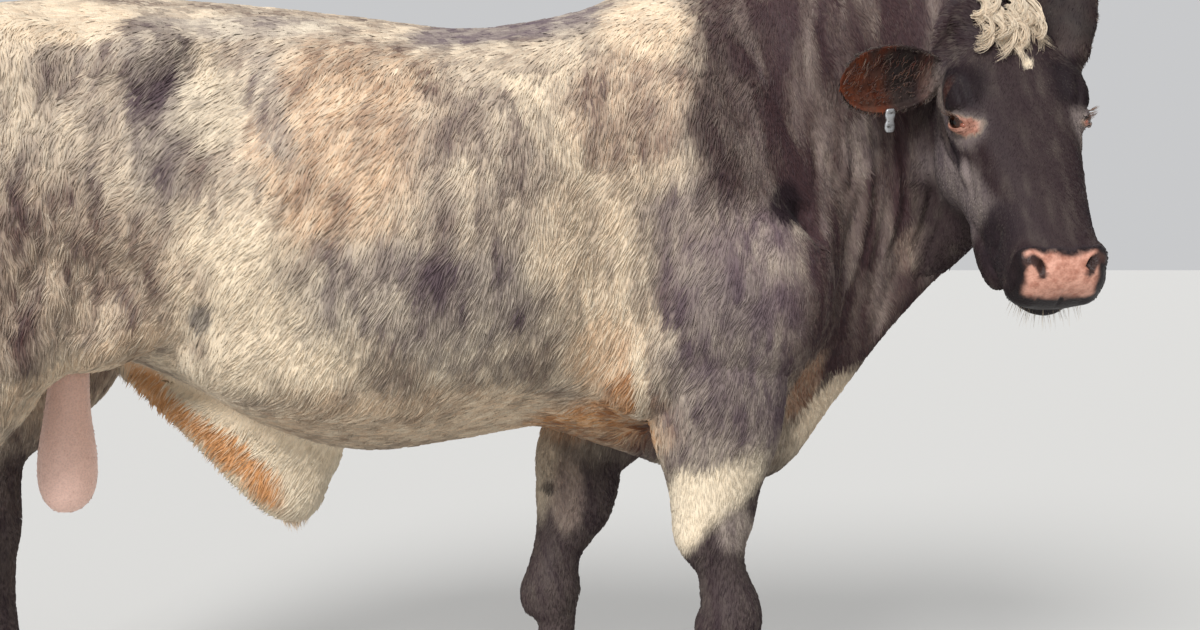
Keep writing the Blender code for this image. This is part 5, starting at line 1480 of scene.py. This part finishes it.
class Finish:
    """A material, built node by node. Constant values go straight to the shader's own sockets."""

    def __init__(self, name, **constants):
        self.material = bpy.data.materials.new(name)
        self.material.use_nodes = True
        self.tree = self.material.node_tree
        self.shader = self.tree.nodes["Principled BSDF"]
        for key, value in constants.items():
            self.put(self.shader.inputs[key.replace("_", " ")], value)

    def put(self, socket, value):
        if isinstance(value, Value):
            self.tree.links.new(value.socket, socket)
        elif isinstance(value, tuple) and len(value) == 3 and len(socket.default_value) == 4:
            socket.default_value = (*value, 1.0)
        else:
            socket.default_value = value

    def node(self, kind, settings=None, sockets=None, output=0):
        """Any node: its settings, then the values or links of its sockets."""
        made = self.tree.nodes.new("ShaderNode" + kind)
        for key, value in (settings or {}).items():
            if key == "stops":
                ramp = made.color_ramp
                while len(ramp.elements) < len(value):
                    ramp.elements.new(0.5)
                for stop, (place, shade) in zip(ramp.elements, value):
                    stop.position = place
                    stop.color = (shade, shade, shade, 1.0)
            else:
                setattr(made, key, value)
        for key, value in (sockets or {}).items():
            self.put(made.inputs[key], value)
        return Value(self, made.outputs[output])

    def mix(self, first, second, share):
        return self.node("Mix", {"data_type": "RGBA", "clamp_factor": True}, {0: share, 6: first, 7: second}, 2)

    def shade(self, colour, by):
        return self.node("VectorMath", {"operation": "SCALE"}, {0: colour, "Scale": by})

    def parts(self, name):
        """The parts of a colour attribute and its alpha."""
        colour = self.node("Attribute", {"attribute_name": name})
        alpha = Value(self, colour.socket.node.outputs["Alpha"])
        split = self.node("SeparateColor", None, {0: colour})
        return [Value(self, split.socket.node.outputs[i]) for i in range(3)] + [alpha]

    def noise(self, scale, stretch=(1.0, 1.0, 1.0), detail=3.0, roughness=0.55):
        """Noise over the piece, drawn out by a stretch."""
        place = self.node("TexCoord", output=3)
        place = self.node("Mapping", None, {0: place, 3: stretch})
        return self.node("TexNoise", None, {"Vector": place, "Scale": scale, "Detail": detail, "Roughness": roughness})

    def smooth(self, value, low, high):
        """0 below low, 1 above high."""
        sockets = {"Value": value, "From Min": low, "From Max": high}
        return self.node("MapRange", {"interpolation_type": "SMOOTHSTEP"}, sockets)

    def bump(self, height, strength, distance):
        made = self.node("Bump", None, {"Height": height, "Strength": strength, "Distance": distance})
        self.set(Normal=made)

    def set(self, **links):
        for key, value in links.items():
            self.put(self.shader.inputs[key.replace("_", " ")], value)


def tone(red, green, blue):
    """A colour given as on a painter's card, from 0 to 255."""
    return tuple((part / 255.0) ** 2.2 for part in (red, green, blue))


DEEP = tone(32, 22, 27)
MAUVE = tone(114, 100, 106)
CREAM = tone(250, 236, 210)
TAN = tone(214, 156, 104)
RUST = tone(124, 56, 28)
PINK = tone(214, 160, 140)
PINK_DEEP = tone(168, 114, 96)
PINK_PALE = tone(255, 214, 198)
LEATHER = tone(34, 27, 29)


def coat_finish():
    """Hair and hide: dark, grey, cream and tan hair by the markings, and bare pink skin, each tuft with painted shade
    towards its root.
    """
    coat = Finish("coat", Specular_IOR_Level=0.20, Sheen_Weight=0.02, Sheen_Roughness=0.4)
    pale, warm, grey, bare = coat.parts("marks")
    chance, along, _, _ = coat.parts("tuft")
    dark = coat.mix(DEEP, MAUVE, grey)
    dark = coat.mix(dark, RUST, warm * 0.75)
    light = coat.mix(CREAM, TAN, warm)
    light = coat.mix(light, MAUVE, grey * 0.30)
    colour = coat.mix(dark, light, pale)
    fine = coat.noise(420.0, (1.0, 1.0, 0.14), 2.0)
    # Each tuft darkens towards its root: painted shade among the overlapping hairs. The fine noise and the chance give
    # the hair's own tone.
    strength = 0.66 + 0.20 * along + 0.34 * fine + 0.16 * chance
    colour = coat.shade(colour, strength)
    cells = coat.node("TexVoronoi", None, {"Vector": coat.node("TexCoord", output=3), "Scale": 260.0})
    skin = coat.mix(PINK_DEEP, PINK, coat.smooth(coat.noise(60.0), 0.30, 0.70))
    skin = coat.mix(skin, PINK_PALE, warm * 0.95)
    skin = coat.shade(coat.mix(LEATHER, skin, pale), 0.86 + 0.25 * cells)
    colour = coat.mix(colour, skin, bare)
    coat.set(Base_Color=colour, Roughness=0.56 - 0.14 * bare + 0.10 * fine)
    coat.bump(fine * (1 - bare) + cells * bare, 0.5, 0.0012)
    return coat.material


def long_hair_finish():
    hair = Finish("long_hair", Specular_IOR_Level=0.4, Sheen_Weight=0.15)
    pale, warm, grey, _ = hair.parts("marks")
    chance, along, _, _ = hair.parts("tuft")
    dark = hair.mix(DEEP, RUST, warm * 0.7)
    light = hair.mix(hair.mix(CREAM, TAN, warm), MAUVE, grey * 0.4)
    colour = hair.mix(dark, light, pale)
    # Each hair darkens towards its root: painted shade within the lock. The chance gives the hair's own tone.
    colour = hair.shade(colour, 0.60 + 0.30 * along + 0.30 * chance)
    hair.set(Base_Color=colour, Roughness=0.48 + 0.12 * chance)
    return hair.material


def eye_finish():
    """A dark brown eye with a level pupil, and the red corner beside it."""
    eye = Finish("eye", IOR=1.38, Coat_Weight=0.4, Coat_Roughness=0.03, Roughness=0.16)
    across, up, out, corner = eye.parts("gaze")
    u = across * 2.0 - 1.0
    v = up * 2.0 - 1.0
    iris = (u * u + v * v * 1.25) ** 0.5
    pupil = (u * u * 0.60 + v * v * 3.6) ** 0.5
    rays = eye.noise(900.0, (1.0, 1.0, 1.0), 2.0)
    brown = eye.mix(tone(26, 14, 10), tone(70, 40, 24), eye.smooth(rays, 0.3, 0.7) * eye.smooth(iris, 0.20, 0.50))
    colour = eye.mix(tone(6, 5, 6), brown, eye.smooth(pupil, 0.30, 0.38))
    white = eye.mix(tone(120, 84, 70), tone(60, 34, 28), eye.smooth(eye.noise(300.0), 0.4, 0.6))
    colour = eye.mix(colour, white, eye.smooth(iris, 0.62, 0.74))
    colour = eye.mix(colour, eye.mix(tone(164, 104, 86), tone(124, 72, 58), rays), corner)
    eye.set(Base_Color=colour)
    return eye.material


def horn_finish():
    horn = Finish("hoof_horn", Specular_IOR_Level=0.4)
    fibres = horn.noise(190.0, (1.0, 1.0, 0.10), 3.0)
    rings = horn.noise(26.0, (0.25, 0.25, 9.0), 2.0)
    colour = horn.mix(tone(34, 28, 25), tone(98, 82, 66), horn.smooth(fibres * 0.5 + rings * 0.5, 0.40, 0.72))
    dust = horn.smooth(horn.noise(30.0, (1.0, 1.0, 1.0), 4.0), 0.50, 0.75)
    colour = horn.mix(colour, tone(128, 112, 90), dust * 0.45)
    horn.set(Base_Color=colour, Roughness=0.42 + 0.3 * dust)
    horn.bump(fibres * 0.5 + rings, 0.6, 0.0012)
    return horn.material


def tag_finish():
    tag = Finish("tag_metal", Metallic=0.9)
    wear = tag.noise(160.0, (1.0, 1.0, 1.0), 4.0)
    colour = tag.mix(tone(196, 198, 200), tone(120, 118, 116), tag.smooth(wear, 0.52, 0.70))
    tag.set(Base_Color=colour, Roughness=0.28 + 0.3 * wear)
    tag.bump(wear, 0.25, 0.0004)
    return tag.material


def dress(obj, material):
    """Gives a piece its finish and moves it from the drawing's origin to the row's."""
    obj.data.materials.clear()
    obj.data.materials.append(material)
    obj.data.transform(Matrix.Translation(SHIFT))
    obj.data.shade_smooth()
    return obj


def build_ear(side):
    """A cupped ear of one fine skin, with the ridges that run down inside it."""
    _, _, opening, upper = ear_axes(side)
    rings = []
    sides = 72
    half = sides // 2
    for share, half_width, cup, wall in smooth_rows(EAR, 6):
        ring = ear_ring(sides, ear_middle(side, share), upper, opening, half_width, cup, max(wall, 0.0045))
        for k in range(1, half):
            angle = math.pi * (0.5 - k / half)
            ridge = 0.0016 * math.cos(9.0 * angle) * smooth_step(share, 0.2, 0.4) * (1.0 - smooth_step(share, 0.7, 0.95))
            ring[half + k] += opening * float(ridge)
        rings.append(ring)
    forms = []
    skin_over(forms, rings)
    return object_of(forms, "ear_" + SIDE_NAMES[side])


def inset(obj):
    """Draws the hide in by the coat's depth."""
    spots, normals = places_of(obj)
    found = zones(spots)
    depth = np.full(len(spots), COAT_DEPTH["body"])
    for name in ("leg", "tail", "head", "ear"):
        depth += (COAT_DEPTH[name] - depth) * found[name]
    for name in ("scrotum", "muzzle", "lids"):
        depth *= 1.0 - found[name]
    put_places(obj, spots - normals * depth[:, None])


def mark_hide(obj):
    """The markings of the hide itself, under the tufts."""
    spots, _ = places_of(obj)
    marks = markings(spots)
    mixed = 4.0 * marks[:, 0] * (1.0 - marks[:, 0])
    marks[:, 0] = np.clip(marks[:, 0] + 0.2 * mixed * streaks(spots), 0, 1)
    give_colours(obj, "marks", marks)
    tuft = np.full((len(spots), 4), 0.4)
    give_colours(obj, "tuft", tuft)


def build_eye(side, material):
    """An eyeball with a swelling over its iris, and the red corner towards the nose."""
    middle, out, along, brow = eye_axes(side)
    forms = []
    bm = bmesh.new()
    bmesh.ops.create_uvsphere(bm, u_segments=56, v_segments=40, radius=EYE_RADIUS)
    for v in bm.verts:
        rise = 0.0012 * math.exp(-((math.hypot(v.co.x, v.co.y) / 0.010) ** 2)) if v.co.z > 0 else 0.0
        v.co.z += rise
    turn = Matrix((along, brow, along.cross(brow))).transposed()
    if turn.col[2].dot(out) < 0:
        turn.col[0] = -turn.col[0]
        turn.col[2] = -turn.col[2]
    bm.transform(Matrix.Translation(middle) @ turn.to_4x4())
    keep_form(forms, bm)
    eye = object_of(forms, "eye_" + SIDE_NAMES[side])
    count = len(eye.data.vertices)
    corner = middle + along * 0.0185 - brow * 0.001 + out * 0.0115
    forms = [eye.data.copy()]
    turn = Matrix((along, brow, out)).transposed().to_4x4()
    ellipsoid(forms, (0, 0, 0), (0.0058, 0.0042, 0.0046), (0, 20, 0), Matrix.Translation(corner) @ turn)
    bpy.data.objects.remove(eye, do_unlink=True)
    eye = object_of(forms, "eye_" + SIDE_NAMES[side])
    spots, _ = places_of(eye)
    rel = spots - np.array(middle)
    gaze = np.zeros((len(spots), 4))
    gaze[:, 0] = rel @ np.array(along) / EYE_RADIUS * 0.5 + 0.5
    gaze[:, 1] = rel @ np.array(brow) / EYE_RADIUS * 0.5 + 0.5
    gaze[:, 2] = rel @ np.array(out) / EYE_RADIUS * 0.5 + 0.5
    gaze[count:, 3] = 1.0
    give_colours(eye, "gaze", gaze)
    return dress(eye, material)


def build_hoof(name, side, rows, material):
    """The two claws of a foot with their growth rings, and the two dewclaws behind the fetlock."""
    foot, fetlock = rows[-1], rows[-4]
    forms = []
    for apart in CLAW_APART.values():
        out = side * apart
        rings = []
        for height, ahead, half_length, half_width, tilt in smooth_rows(CLAW, 7):
            ripple = 1.0 - 0.012 * (1 + math.sin(height * 900.0)) - 0.004 * math.sin(height * 2300.0)
            y = side * foot[1] + out * (CLAW_SPREAD - 0.004 * smooth_step(height, 0.05, 0.065))
            sole = min(1.0, 0.955 + height * 14.0)
            spread = ripple * sole
            rings.append(claw_ring(52, foot[0] + ahead, y, height, half_length * spread, half_width * spread, tilt))
        skin_over(forms, rings)
    for apart in CLAW_APART.values():
        x = fetlock[0] - fetlock[5] + 0.006
        y = side * fetlock[1] + side * apart * 0.024
        ellipsoid(forms, (x, y, fetlock[2] - 0.030), DEWCLAW_RADII, (0, 24, 0))
    hoof = object_of(forms, "hoof_" + name.replace("leg", ""))
    return dress(hoof, material)


def build_tag(material):
    """The small metal clip on the lower edge of the right ear."""
    _, way, opening, upper = ear_axes(RIGHT)
    edge = ear_middle(RIGHT, TAG_SHARE) - upper * EAR[4][1]
    rings = []
    for share in np.linspace(-1.0, 1.0, 33).tolist():
        waist = 1.0 - 0.25 * math.exp(-((share / 0.25) ** 2)) - 0.35 * abs(share) ** 6
        centre = edge - upper * (0.013 + share * TAG_HALF_LENGTH) + opening * 0.003
        half = TAG_HALF_WIDTH * waist
        thick = 0.5 * TAG_THICKNESS * (1.0 - 0.30 * math.exp(-(((abs(share) - 0.55) / 0.12) ** 2)))
        rings.append(egg_ring(32, centre, way, opening, half, thick, thick, 0.6))
    forms = []
    skin_over(forms, rings)
    return dress(object_of(forms, "tag"), material)


def waves(rng, hairs, steps, size, turns):
    """Small sideways swings that grow along each hair."""
    t = np.linspace(0.0, 1.0, steps)
    out = np.zeros((hairs, steps, 3))
    for axis in range(3):
        phase = rng.random(hairs)[:, None] * 6.283
        rate = turns * (0.7 + 0.6 * rng.random(hairs))[:, None]
        out[:, :, axis] = np.sin(phase + rate * 6.283 * t[None, :]) - np.sin(phase)
    return out * size * t[None, :, None] ** 0.6


def taper(steps, width, hairs, rng):
    """Half widths along a hair: full in the middle and thin at the tip."""
    t = np.linspace(0.0, 1.0, steps)
    shape = np.minimum(1.0, 0.7 + 1.2 * t) * np.maximum(1.0 - t**2.2, 0.06)
    return width * (0.7 + 0.6 * rng.random(hairs))[:, None] * shape[None, :]


def flat_marks(rng, hairs, pale, warm, grey, spread=0.15):
    marks = np.zeros((hairs, 4))
    marks[:, 0] = pale + spread * (rng.random(hairs) - 0.5)
    marks[:, 1] = warm * (0.5 + rng.random(hairs))
    marks[:, 2] = grey
    return np.clip(marks, 0, 1)


def forelock_hair(rng, unwrap, tree, material):
    """Pale wavy hair that grows from the poll and falls over the forehead."""
    curls, per_curl, steps = 34, 24, 18
    hairs = curls * per_curl
    head = np.array(head_frame())

    def of_curl(values):
        """One value of each curl for each of its hairs."""
        return np.repeat(values, per_curl)[:, None]

    t = np.linspace(0.0, 1.0, steps)[None, :]
    x = of_curl(-0.045 + 0.075 * rng.random(curls)) + 0.007 * (rng.random((hairs, 1)) - 0.5)
    y = of_curl((rng.random(curls) - 0.5) * 0.078) + 0.007 * (rng.random((hairs, 1)) - 0.5)
    length = of_curl(0.045 + 0.045 * rng.random(curls)) * (0.85 + 0.3 * rng.random((hairs, 1)))
    swing = of_curl((rng.random(curls) - 0.5) * 0.9)
    radius = of_curl(0.008 + 0.008 * rng.random(curls)) * (0.85 + 0.3 * rng.random((hairs, 1)))
    start = of_curl(6.283 * rng.random(curls)) + 0.5 * (rng.random((hairs, 1)) - 0.5)
    turn = start + of_curl(6.283 * (1.1 + 0.9 * rng.random(curls))) * t
    paths = np.zeros((hairs, steps, 3))
    paths[:, :, 0] = x + length * t + radius * (np.sin(turn) - np.sin(start)) * t**0.5
    paths[:, :, 1] = y + length * swing * t + radius * (np.cos(turn) - np.cos(start)) * t**0.5
    lifted = of_curl(0.012 + 0.016 * rng.random(curls)) + 0.006 * rng.random((hairs, 1))
    paths[:, :, 2] = lifted * np.sin(np.pi * np.minimum(t * 0.9 + 0.12, 1.0))
    paths += waves(rng, hairs, steps, 0.0015, 2.0)
    world = paths.reshape(-1, 3) @ head[:3, :3].T + head[:3, 3]
    world = world.reshape(hairs, steps, 3)
    # Each point keeps its height over the hide beneath it
    for i in range(hairs):
        for k in range(steps):
            near, normal, _, _ = tree.find_nearest(Vector(world[i, k]))
            rise = -0.002 if k == 0 else 0.004 + 0.5 * float(paths[i, k, 2])
            gap = (Vector(world[i, k]) - near).dot(normal)
            if gap < rise or k == 0:
                world[i, k] = near + normal * rise
    marks = flat_marks(rng, hairs, 0.92, 0.20, 0.0)
    return strands("forelock", unwrap, material, world, taper(steps, 0.0009, hairs, rng), marks, rng.random(hairs))


def switch_hair(rng, unwrap, material):
    """The tail's brush of long hair."""
    hairs, steps = 760, 10
    around = rng.random(hairs) * 6.283
    top = 0.780 + 0.085 * rng.random(hairs)
    radius = 0.017
    t = np.linspace(0.0, 1.0, steps)[None, :]
    length = (0.26 + 0.17 * rng.random(hairs))[:, None]
    length = np.minimum(length, (top - 0.350)[:, None])
    spread = (0.008 + 0.024 * np.sqrt(rng.random(hairs)))[:, None]
    swell = radius + spread * np.sin(np.pi * np.minimum(t * 1.15, 1.0)) ** 0.8 - radius * 0.75 * t**2
    paths = np.zeros((hairs, steps, 3))
    paths[:, :, 0] = -1.4262 + np.cos(around)[:, None] * swell
    paths[:, :, 1] = np.sin(around)[:, None] * swell
    paths[:, :, 2] = top[:, None] - length * t
    paths += waves(rng, hairs, steps, 0.0035, 1.3)
    marks = flat_marks(rng, hairs, 0.55, 0.20, 0.3, 0.9)
    return strands("switch", unwrap, material, paths, taper(steps, 0.0022, hairs, rng), marks, rng.random(hairs))


def sheath_hair(rng, unwrap, material):
    """The tuft at the tip of the sheath."""
    hairs, steps = 1100, 7
    around = rng.random(hairs) * 6.283
    swell = np.sqrt(rng.random(hairs))
    t = np.linspace(0.0, 1.0, steps)[None, :]
    length = (0.030 + 0.030 * rng.random(hairs))[:, None]
    paths = np.zeros((hairs, steps, 3))
    inward = 1.0 - 0.25 * t**1.5
    rooted = (0.528 + 0.050 * swell**2 + 0.012 * rng.random(hairs))[:, None]
    paths[:, :, 0] = -0.580 + (np.cos(around) * swell * 0.052)[:, None] * inward + 0.008 * t
    paths[:, :, 1] = (np.sin(around) * swell * 0.036)[:, None] * inward
    paths[:, :, 2] = rooted - length * t
    paths += waves(rng, hairs, steps, 0.0025, 1.2)
    marks = flat_marks(rng, hairs, 0.92, 0.30, 0.0)
    return strands("sheath_tuft", unwrap, material, paths, taper(steps, 0.0016, hairs, rng), marks, rng.random(hairs))


def ear_hair(rng, side, unwrap, material):
    """Long hair inside the ear's cup and along both its edges."""
    hairs, steps = 620, 7
    _, way, opening, upper = ear_axes(side)
    way, opening, upper = np.array(way), np.array(opening), np.array(upper)
    fringe = rng.random(hairs) < 0.62
    share = 0.14 + 0.80 * rng.random(hairs)
    table = np.array(EAR)
    half_width = np.interp(share, table[:, 0], table[:, 1])
    cup = np.interp(share, table[:, 0], table[:, 2]) - np.interp(share, table[:, 0], table[:, 3])
    across = np.where(fringe, np.sign(rng.random(hairs) - 0.5) * 0.97, 1.6 * (rng.random(hairs) - 0.5))
    middle = np.array([ear_middle(side, value) for value in share])
    depth = -cup * np.sqrt(np.maximum(1 - across**2, 0.0))
    roots = middle + upper * (across * half_width * 0.96)[:, None] + opening * depth[:, None]
    t = np.linspace(0.0, 1.0, steps)[None, :, None]
    length = np.where(fringe, 0.008 + 0.010 * rng.random(hairs), 0.012 + 0.016 * rng.random(hairs))[:, None, None]
    lean = way * 0.75 + opening * np.where(fringe, 0.25, 0.55)[:, None] - upper * (across * 0.45)[:, None]
    lean += np.where(fringe, 1.0, 0.0)[:, None] * upper * (across * 0.85)[:, None]
    lean += 0.35 * (rng.random((hairs, 3)) - 0.5)
    lean /= np.linalg.norm(lean, axis=1)[:, None]
    paths = roots[:, None, :] + lean[:, None, :] * length * t
    paths[:, :, 2] -= (length * 0.25 * t**2)[:, :, 0]
    paths += waves(rng, hairs, steps, 0.0018, 1.0)
    marks = flat_marks(rng, hairs, 0.06, 0.55, 0.0, 0.20)
    marks[fringe, 1] *= 0.3
    name = "ear_hair_" + SIDE_NAMES[side]
    return strands(name, unwrap, material, paths, taper(steps, 0.0009, hairs, rng), marks, rng.random(hairs))


def lash_hair(rng, side, unwrap, material):
    """The upper lid's lashes."""
    hairs, steps = 46, 6
    middle, out, along, brow = (np.array(axis) for axis in eye_axes(side))
    u = (rng.random(hairs) - 0.5) * 1.75 * EYE_OPENING[0]
    v = EYE_OPENING[1] * (1 - (u / EYE_OPENING[0]) ** 2) + 0.0008
    w = np.sqrt(np.maximum((EYE_RADIUS + 0.6 * LID) ** 2 - u * u - v * v, 1e-6))
    roots = middle + along * u[:, None] + brow * v[:, None] + out * w[:, None]
    t = np.linspace(0.0, 1.0, steps)[None, :, None]
    length = (0.013 + 0.007 * rng.random(hairs))[:, None, None]
    lean = out * 0.9 + along * (u / EYE_OPENING[0] * 0.5)[:, None] - brow * 0.15
    paths = roots[:, None, :] + lean[:, None, :] * length * t + brow * (length * 0.55 * t**2)
    paths += waves(rng, hairs, steps, 0.0005, 0.8)
    marks = flat_marks(rng, hairs, 0.12, 0.4, 0.0, 0.2)
    name = "lashes_" + SIDE_NAMES[side]
    return strands(name, unwrap, material, paths, taper(steps, 0.00045, hairs, rng), marks, rng.random(hairs))


def whisker_hair(rng, unwrap, tree, material):
    """Sparse bristles on the lips and chin."""
    hairs, steps = 90, 5
    head = np.array(head_frame())
    x = 0.45 + 0.05 * rng.random(hairs)
    y = (rng.random(hairs) - 0.5) * 0.11
    z = -0.19 + 0.060 * rng.random(hairs)
    guess = np.stack([x, y, z], axis=1) @ head[:3, :3].T + head[:3, 3]
    paths = np.zeros((hairs, steps, 3))
    t = np.linspace(0.0, 1.0, steps)[:, None]
    for i in range(hairs):
        near, normal, _, _ = tree.find_nearest(Vector(guess[i]))
        length = 0.008 + 0.012 * rng.random()
        lean = np.array(normal) + np.array([0, 0, -0.5]) + 0.3 * (rng.random(3) - 0.5)
        paths[i] = np.array(near) + lean * length * t
        paths[i, :, 2] -= length * 0.4 * t[:, 0] ** 2
    marks = flat_marks(rng, hairs, 0.6, 0.2, 0.0, 0.5)
    return strands("whiskers", unwrap, material, paths, taper(steps, 0.0003, hairs, rng), marks, rng.random(hairs))


def build_stage():
    """A pale floor, soft lamps and the camera."""
    forms = []
    bm = bmesh.new()
    bmesh.ops.create_grid(bm, x_segments=1, y_segments=1, size=30.0)
    mesh = bpy.data.meshes.new("floor")
    bm.to_mesh(mesh)
    bm.free()
    floor = link("floor", mesh)
    floor.data.materials.append(Finish("floor", Base_Color=tone(196, 195, 192), Roughness=0.9).material)
    world = bpy.data.worlds.new("studio")
    world.use_nodes = True
    back = world.node_tree.nodes["Background"]
    back.inputs["Color"].default_value = (*tone(228, 229, 231), 1.0)
    back.inputs["Strength"].default_value = 0.74
    bpy.context.scene.world = world
    # Wide, far lamps, which light the whole floor alike
    lamps = (
        ("key", (-2.0, -4.8, 4.4), (0.0, 0.0, 0.9), 24.0, 2.8),
        ("back", (0.8, 4.5, 5.0), (0.0, 0.0, 1.0), 30.0, 0.9),
    )
    for name, place, aim, spread, power in lamps:
        lamp = bpy.data.lights.new(name, "SUN")
        lamp.angle = math.radians(spread)
        lamp.energy = power
        obj = bpy.data.objects.new(name, lamp)
        obj.location = place
        obj.rotation_euler = (Vector(aim) - Vector(place)).to_track_quat("-Z", "Y").to_euler()
        bpy.context.scene.collection.objects.link(obj)
    lens = bpy.data.cameras.new("camera")
    lens.lens = 48.48
    lens.sensor_width = 36.0
    camera = bpy.data.objects.new("camera", lens)
    camera.location = Vector((0.0, -3.0, 1.061)) + SHIFT
    camera.rotation_euler = (math.radians(86.57), 0.0, 0.0)
    bpy.context.scene.collection.objects.link(camera)
    bpy.context.scene.camera = camera
    bpy.context.scene.view_settings.view_transform = "Standard"
    return floor


def stand_for(piece, slot, *nodes):
    """The piece rides on the animal's one body and stands for the plain nodes, which are hidden. The slot is not used.
    """
    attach(piece, "root")
    if nodes:
        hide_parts(*nodes)


def main():
    coat, hair = coat_finish(), long_hair_finish()
    skin = build_skin()
    inset(skin)
    mark_hide(skin)
    ears = {side: build_ear(side) for side in (RIGHT, LEFT)}
    for ear in ears.values():
        mark_hide(ear)
    ground = object_of([obj.data.copy() for obj in (skin, *ears.values())], "ground")
    tree = tree_of(skin)
    unwrap = Unwrap(ground)
    tufts = build_coat(ground, unwrap, coat)
    bpy.data.objects.remove(ground, do_unlink=True)
    rng = np.random.default_rng(SEED + 1)
    forelock = forelock_hair(rng, unwrap, tree, hair)
    switch = switch_hair(rng, unwrap, hair)
    tip = sheath_hair(rng, unwrap, hair)
    whiskers = whisker_hair(rng, unwrap, tree, hair)
    for side, ear in ears.items():
        word = SIDE_NAMES[side]
        stand_for(dress(ear, coat), "ear_coat", "ear_" + word)
        stand_for(ear_hair(rng, side, unwrap, hair), "long_hair")
        stand_for(lash_hair(rng, side, unwrap, hair), "long_hair")
    eye_look = eye_finish()
    for side in (RIGHT, LEFT):
        stand_for(build_eye(side, eye_look), "eye", "eye_" + SIDE_NAMES[side])
    horn = horn_finish()
    for name, (side, rows) in LEGS.items():
        foot = name.replace("leg", "")
        nodes = [kind + "_" + foot + "_" + which for kind in ("claw", "dewclaw") for which in CLAW_APART]
        stand_for(build_hoof(name, side, rows, horn), "hoof", *nodes)
    stand_for(build_tag(tag_finish()), "tag_metal", "ear_tag")
    stand_for(dress(skin, coat), "roan_coat", "head", "neck", "torso", *LEGS, "tail", "scrotum", "sheath")
    for piece in tufts:
        stand_for(piece, "roan_coat")
    stand_for(forelock, "long_hair")
    stand_for(switch, "long_hair", "tail_switch")
    stand_for(tip, "long_hair")
    stand_for(whiskers, "long_hair")
    build_stage()


main()
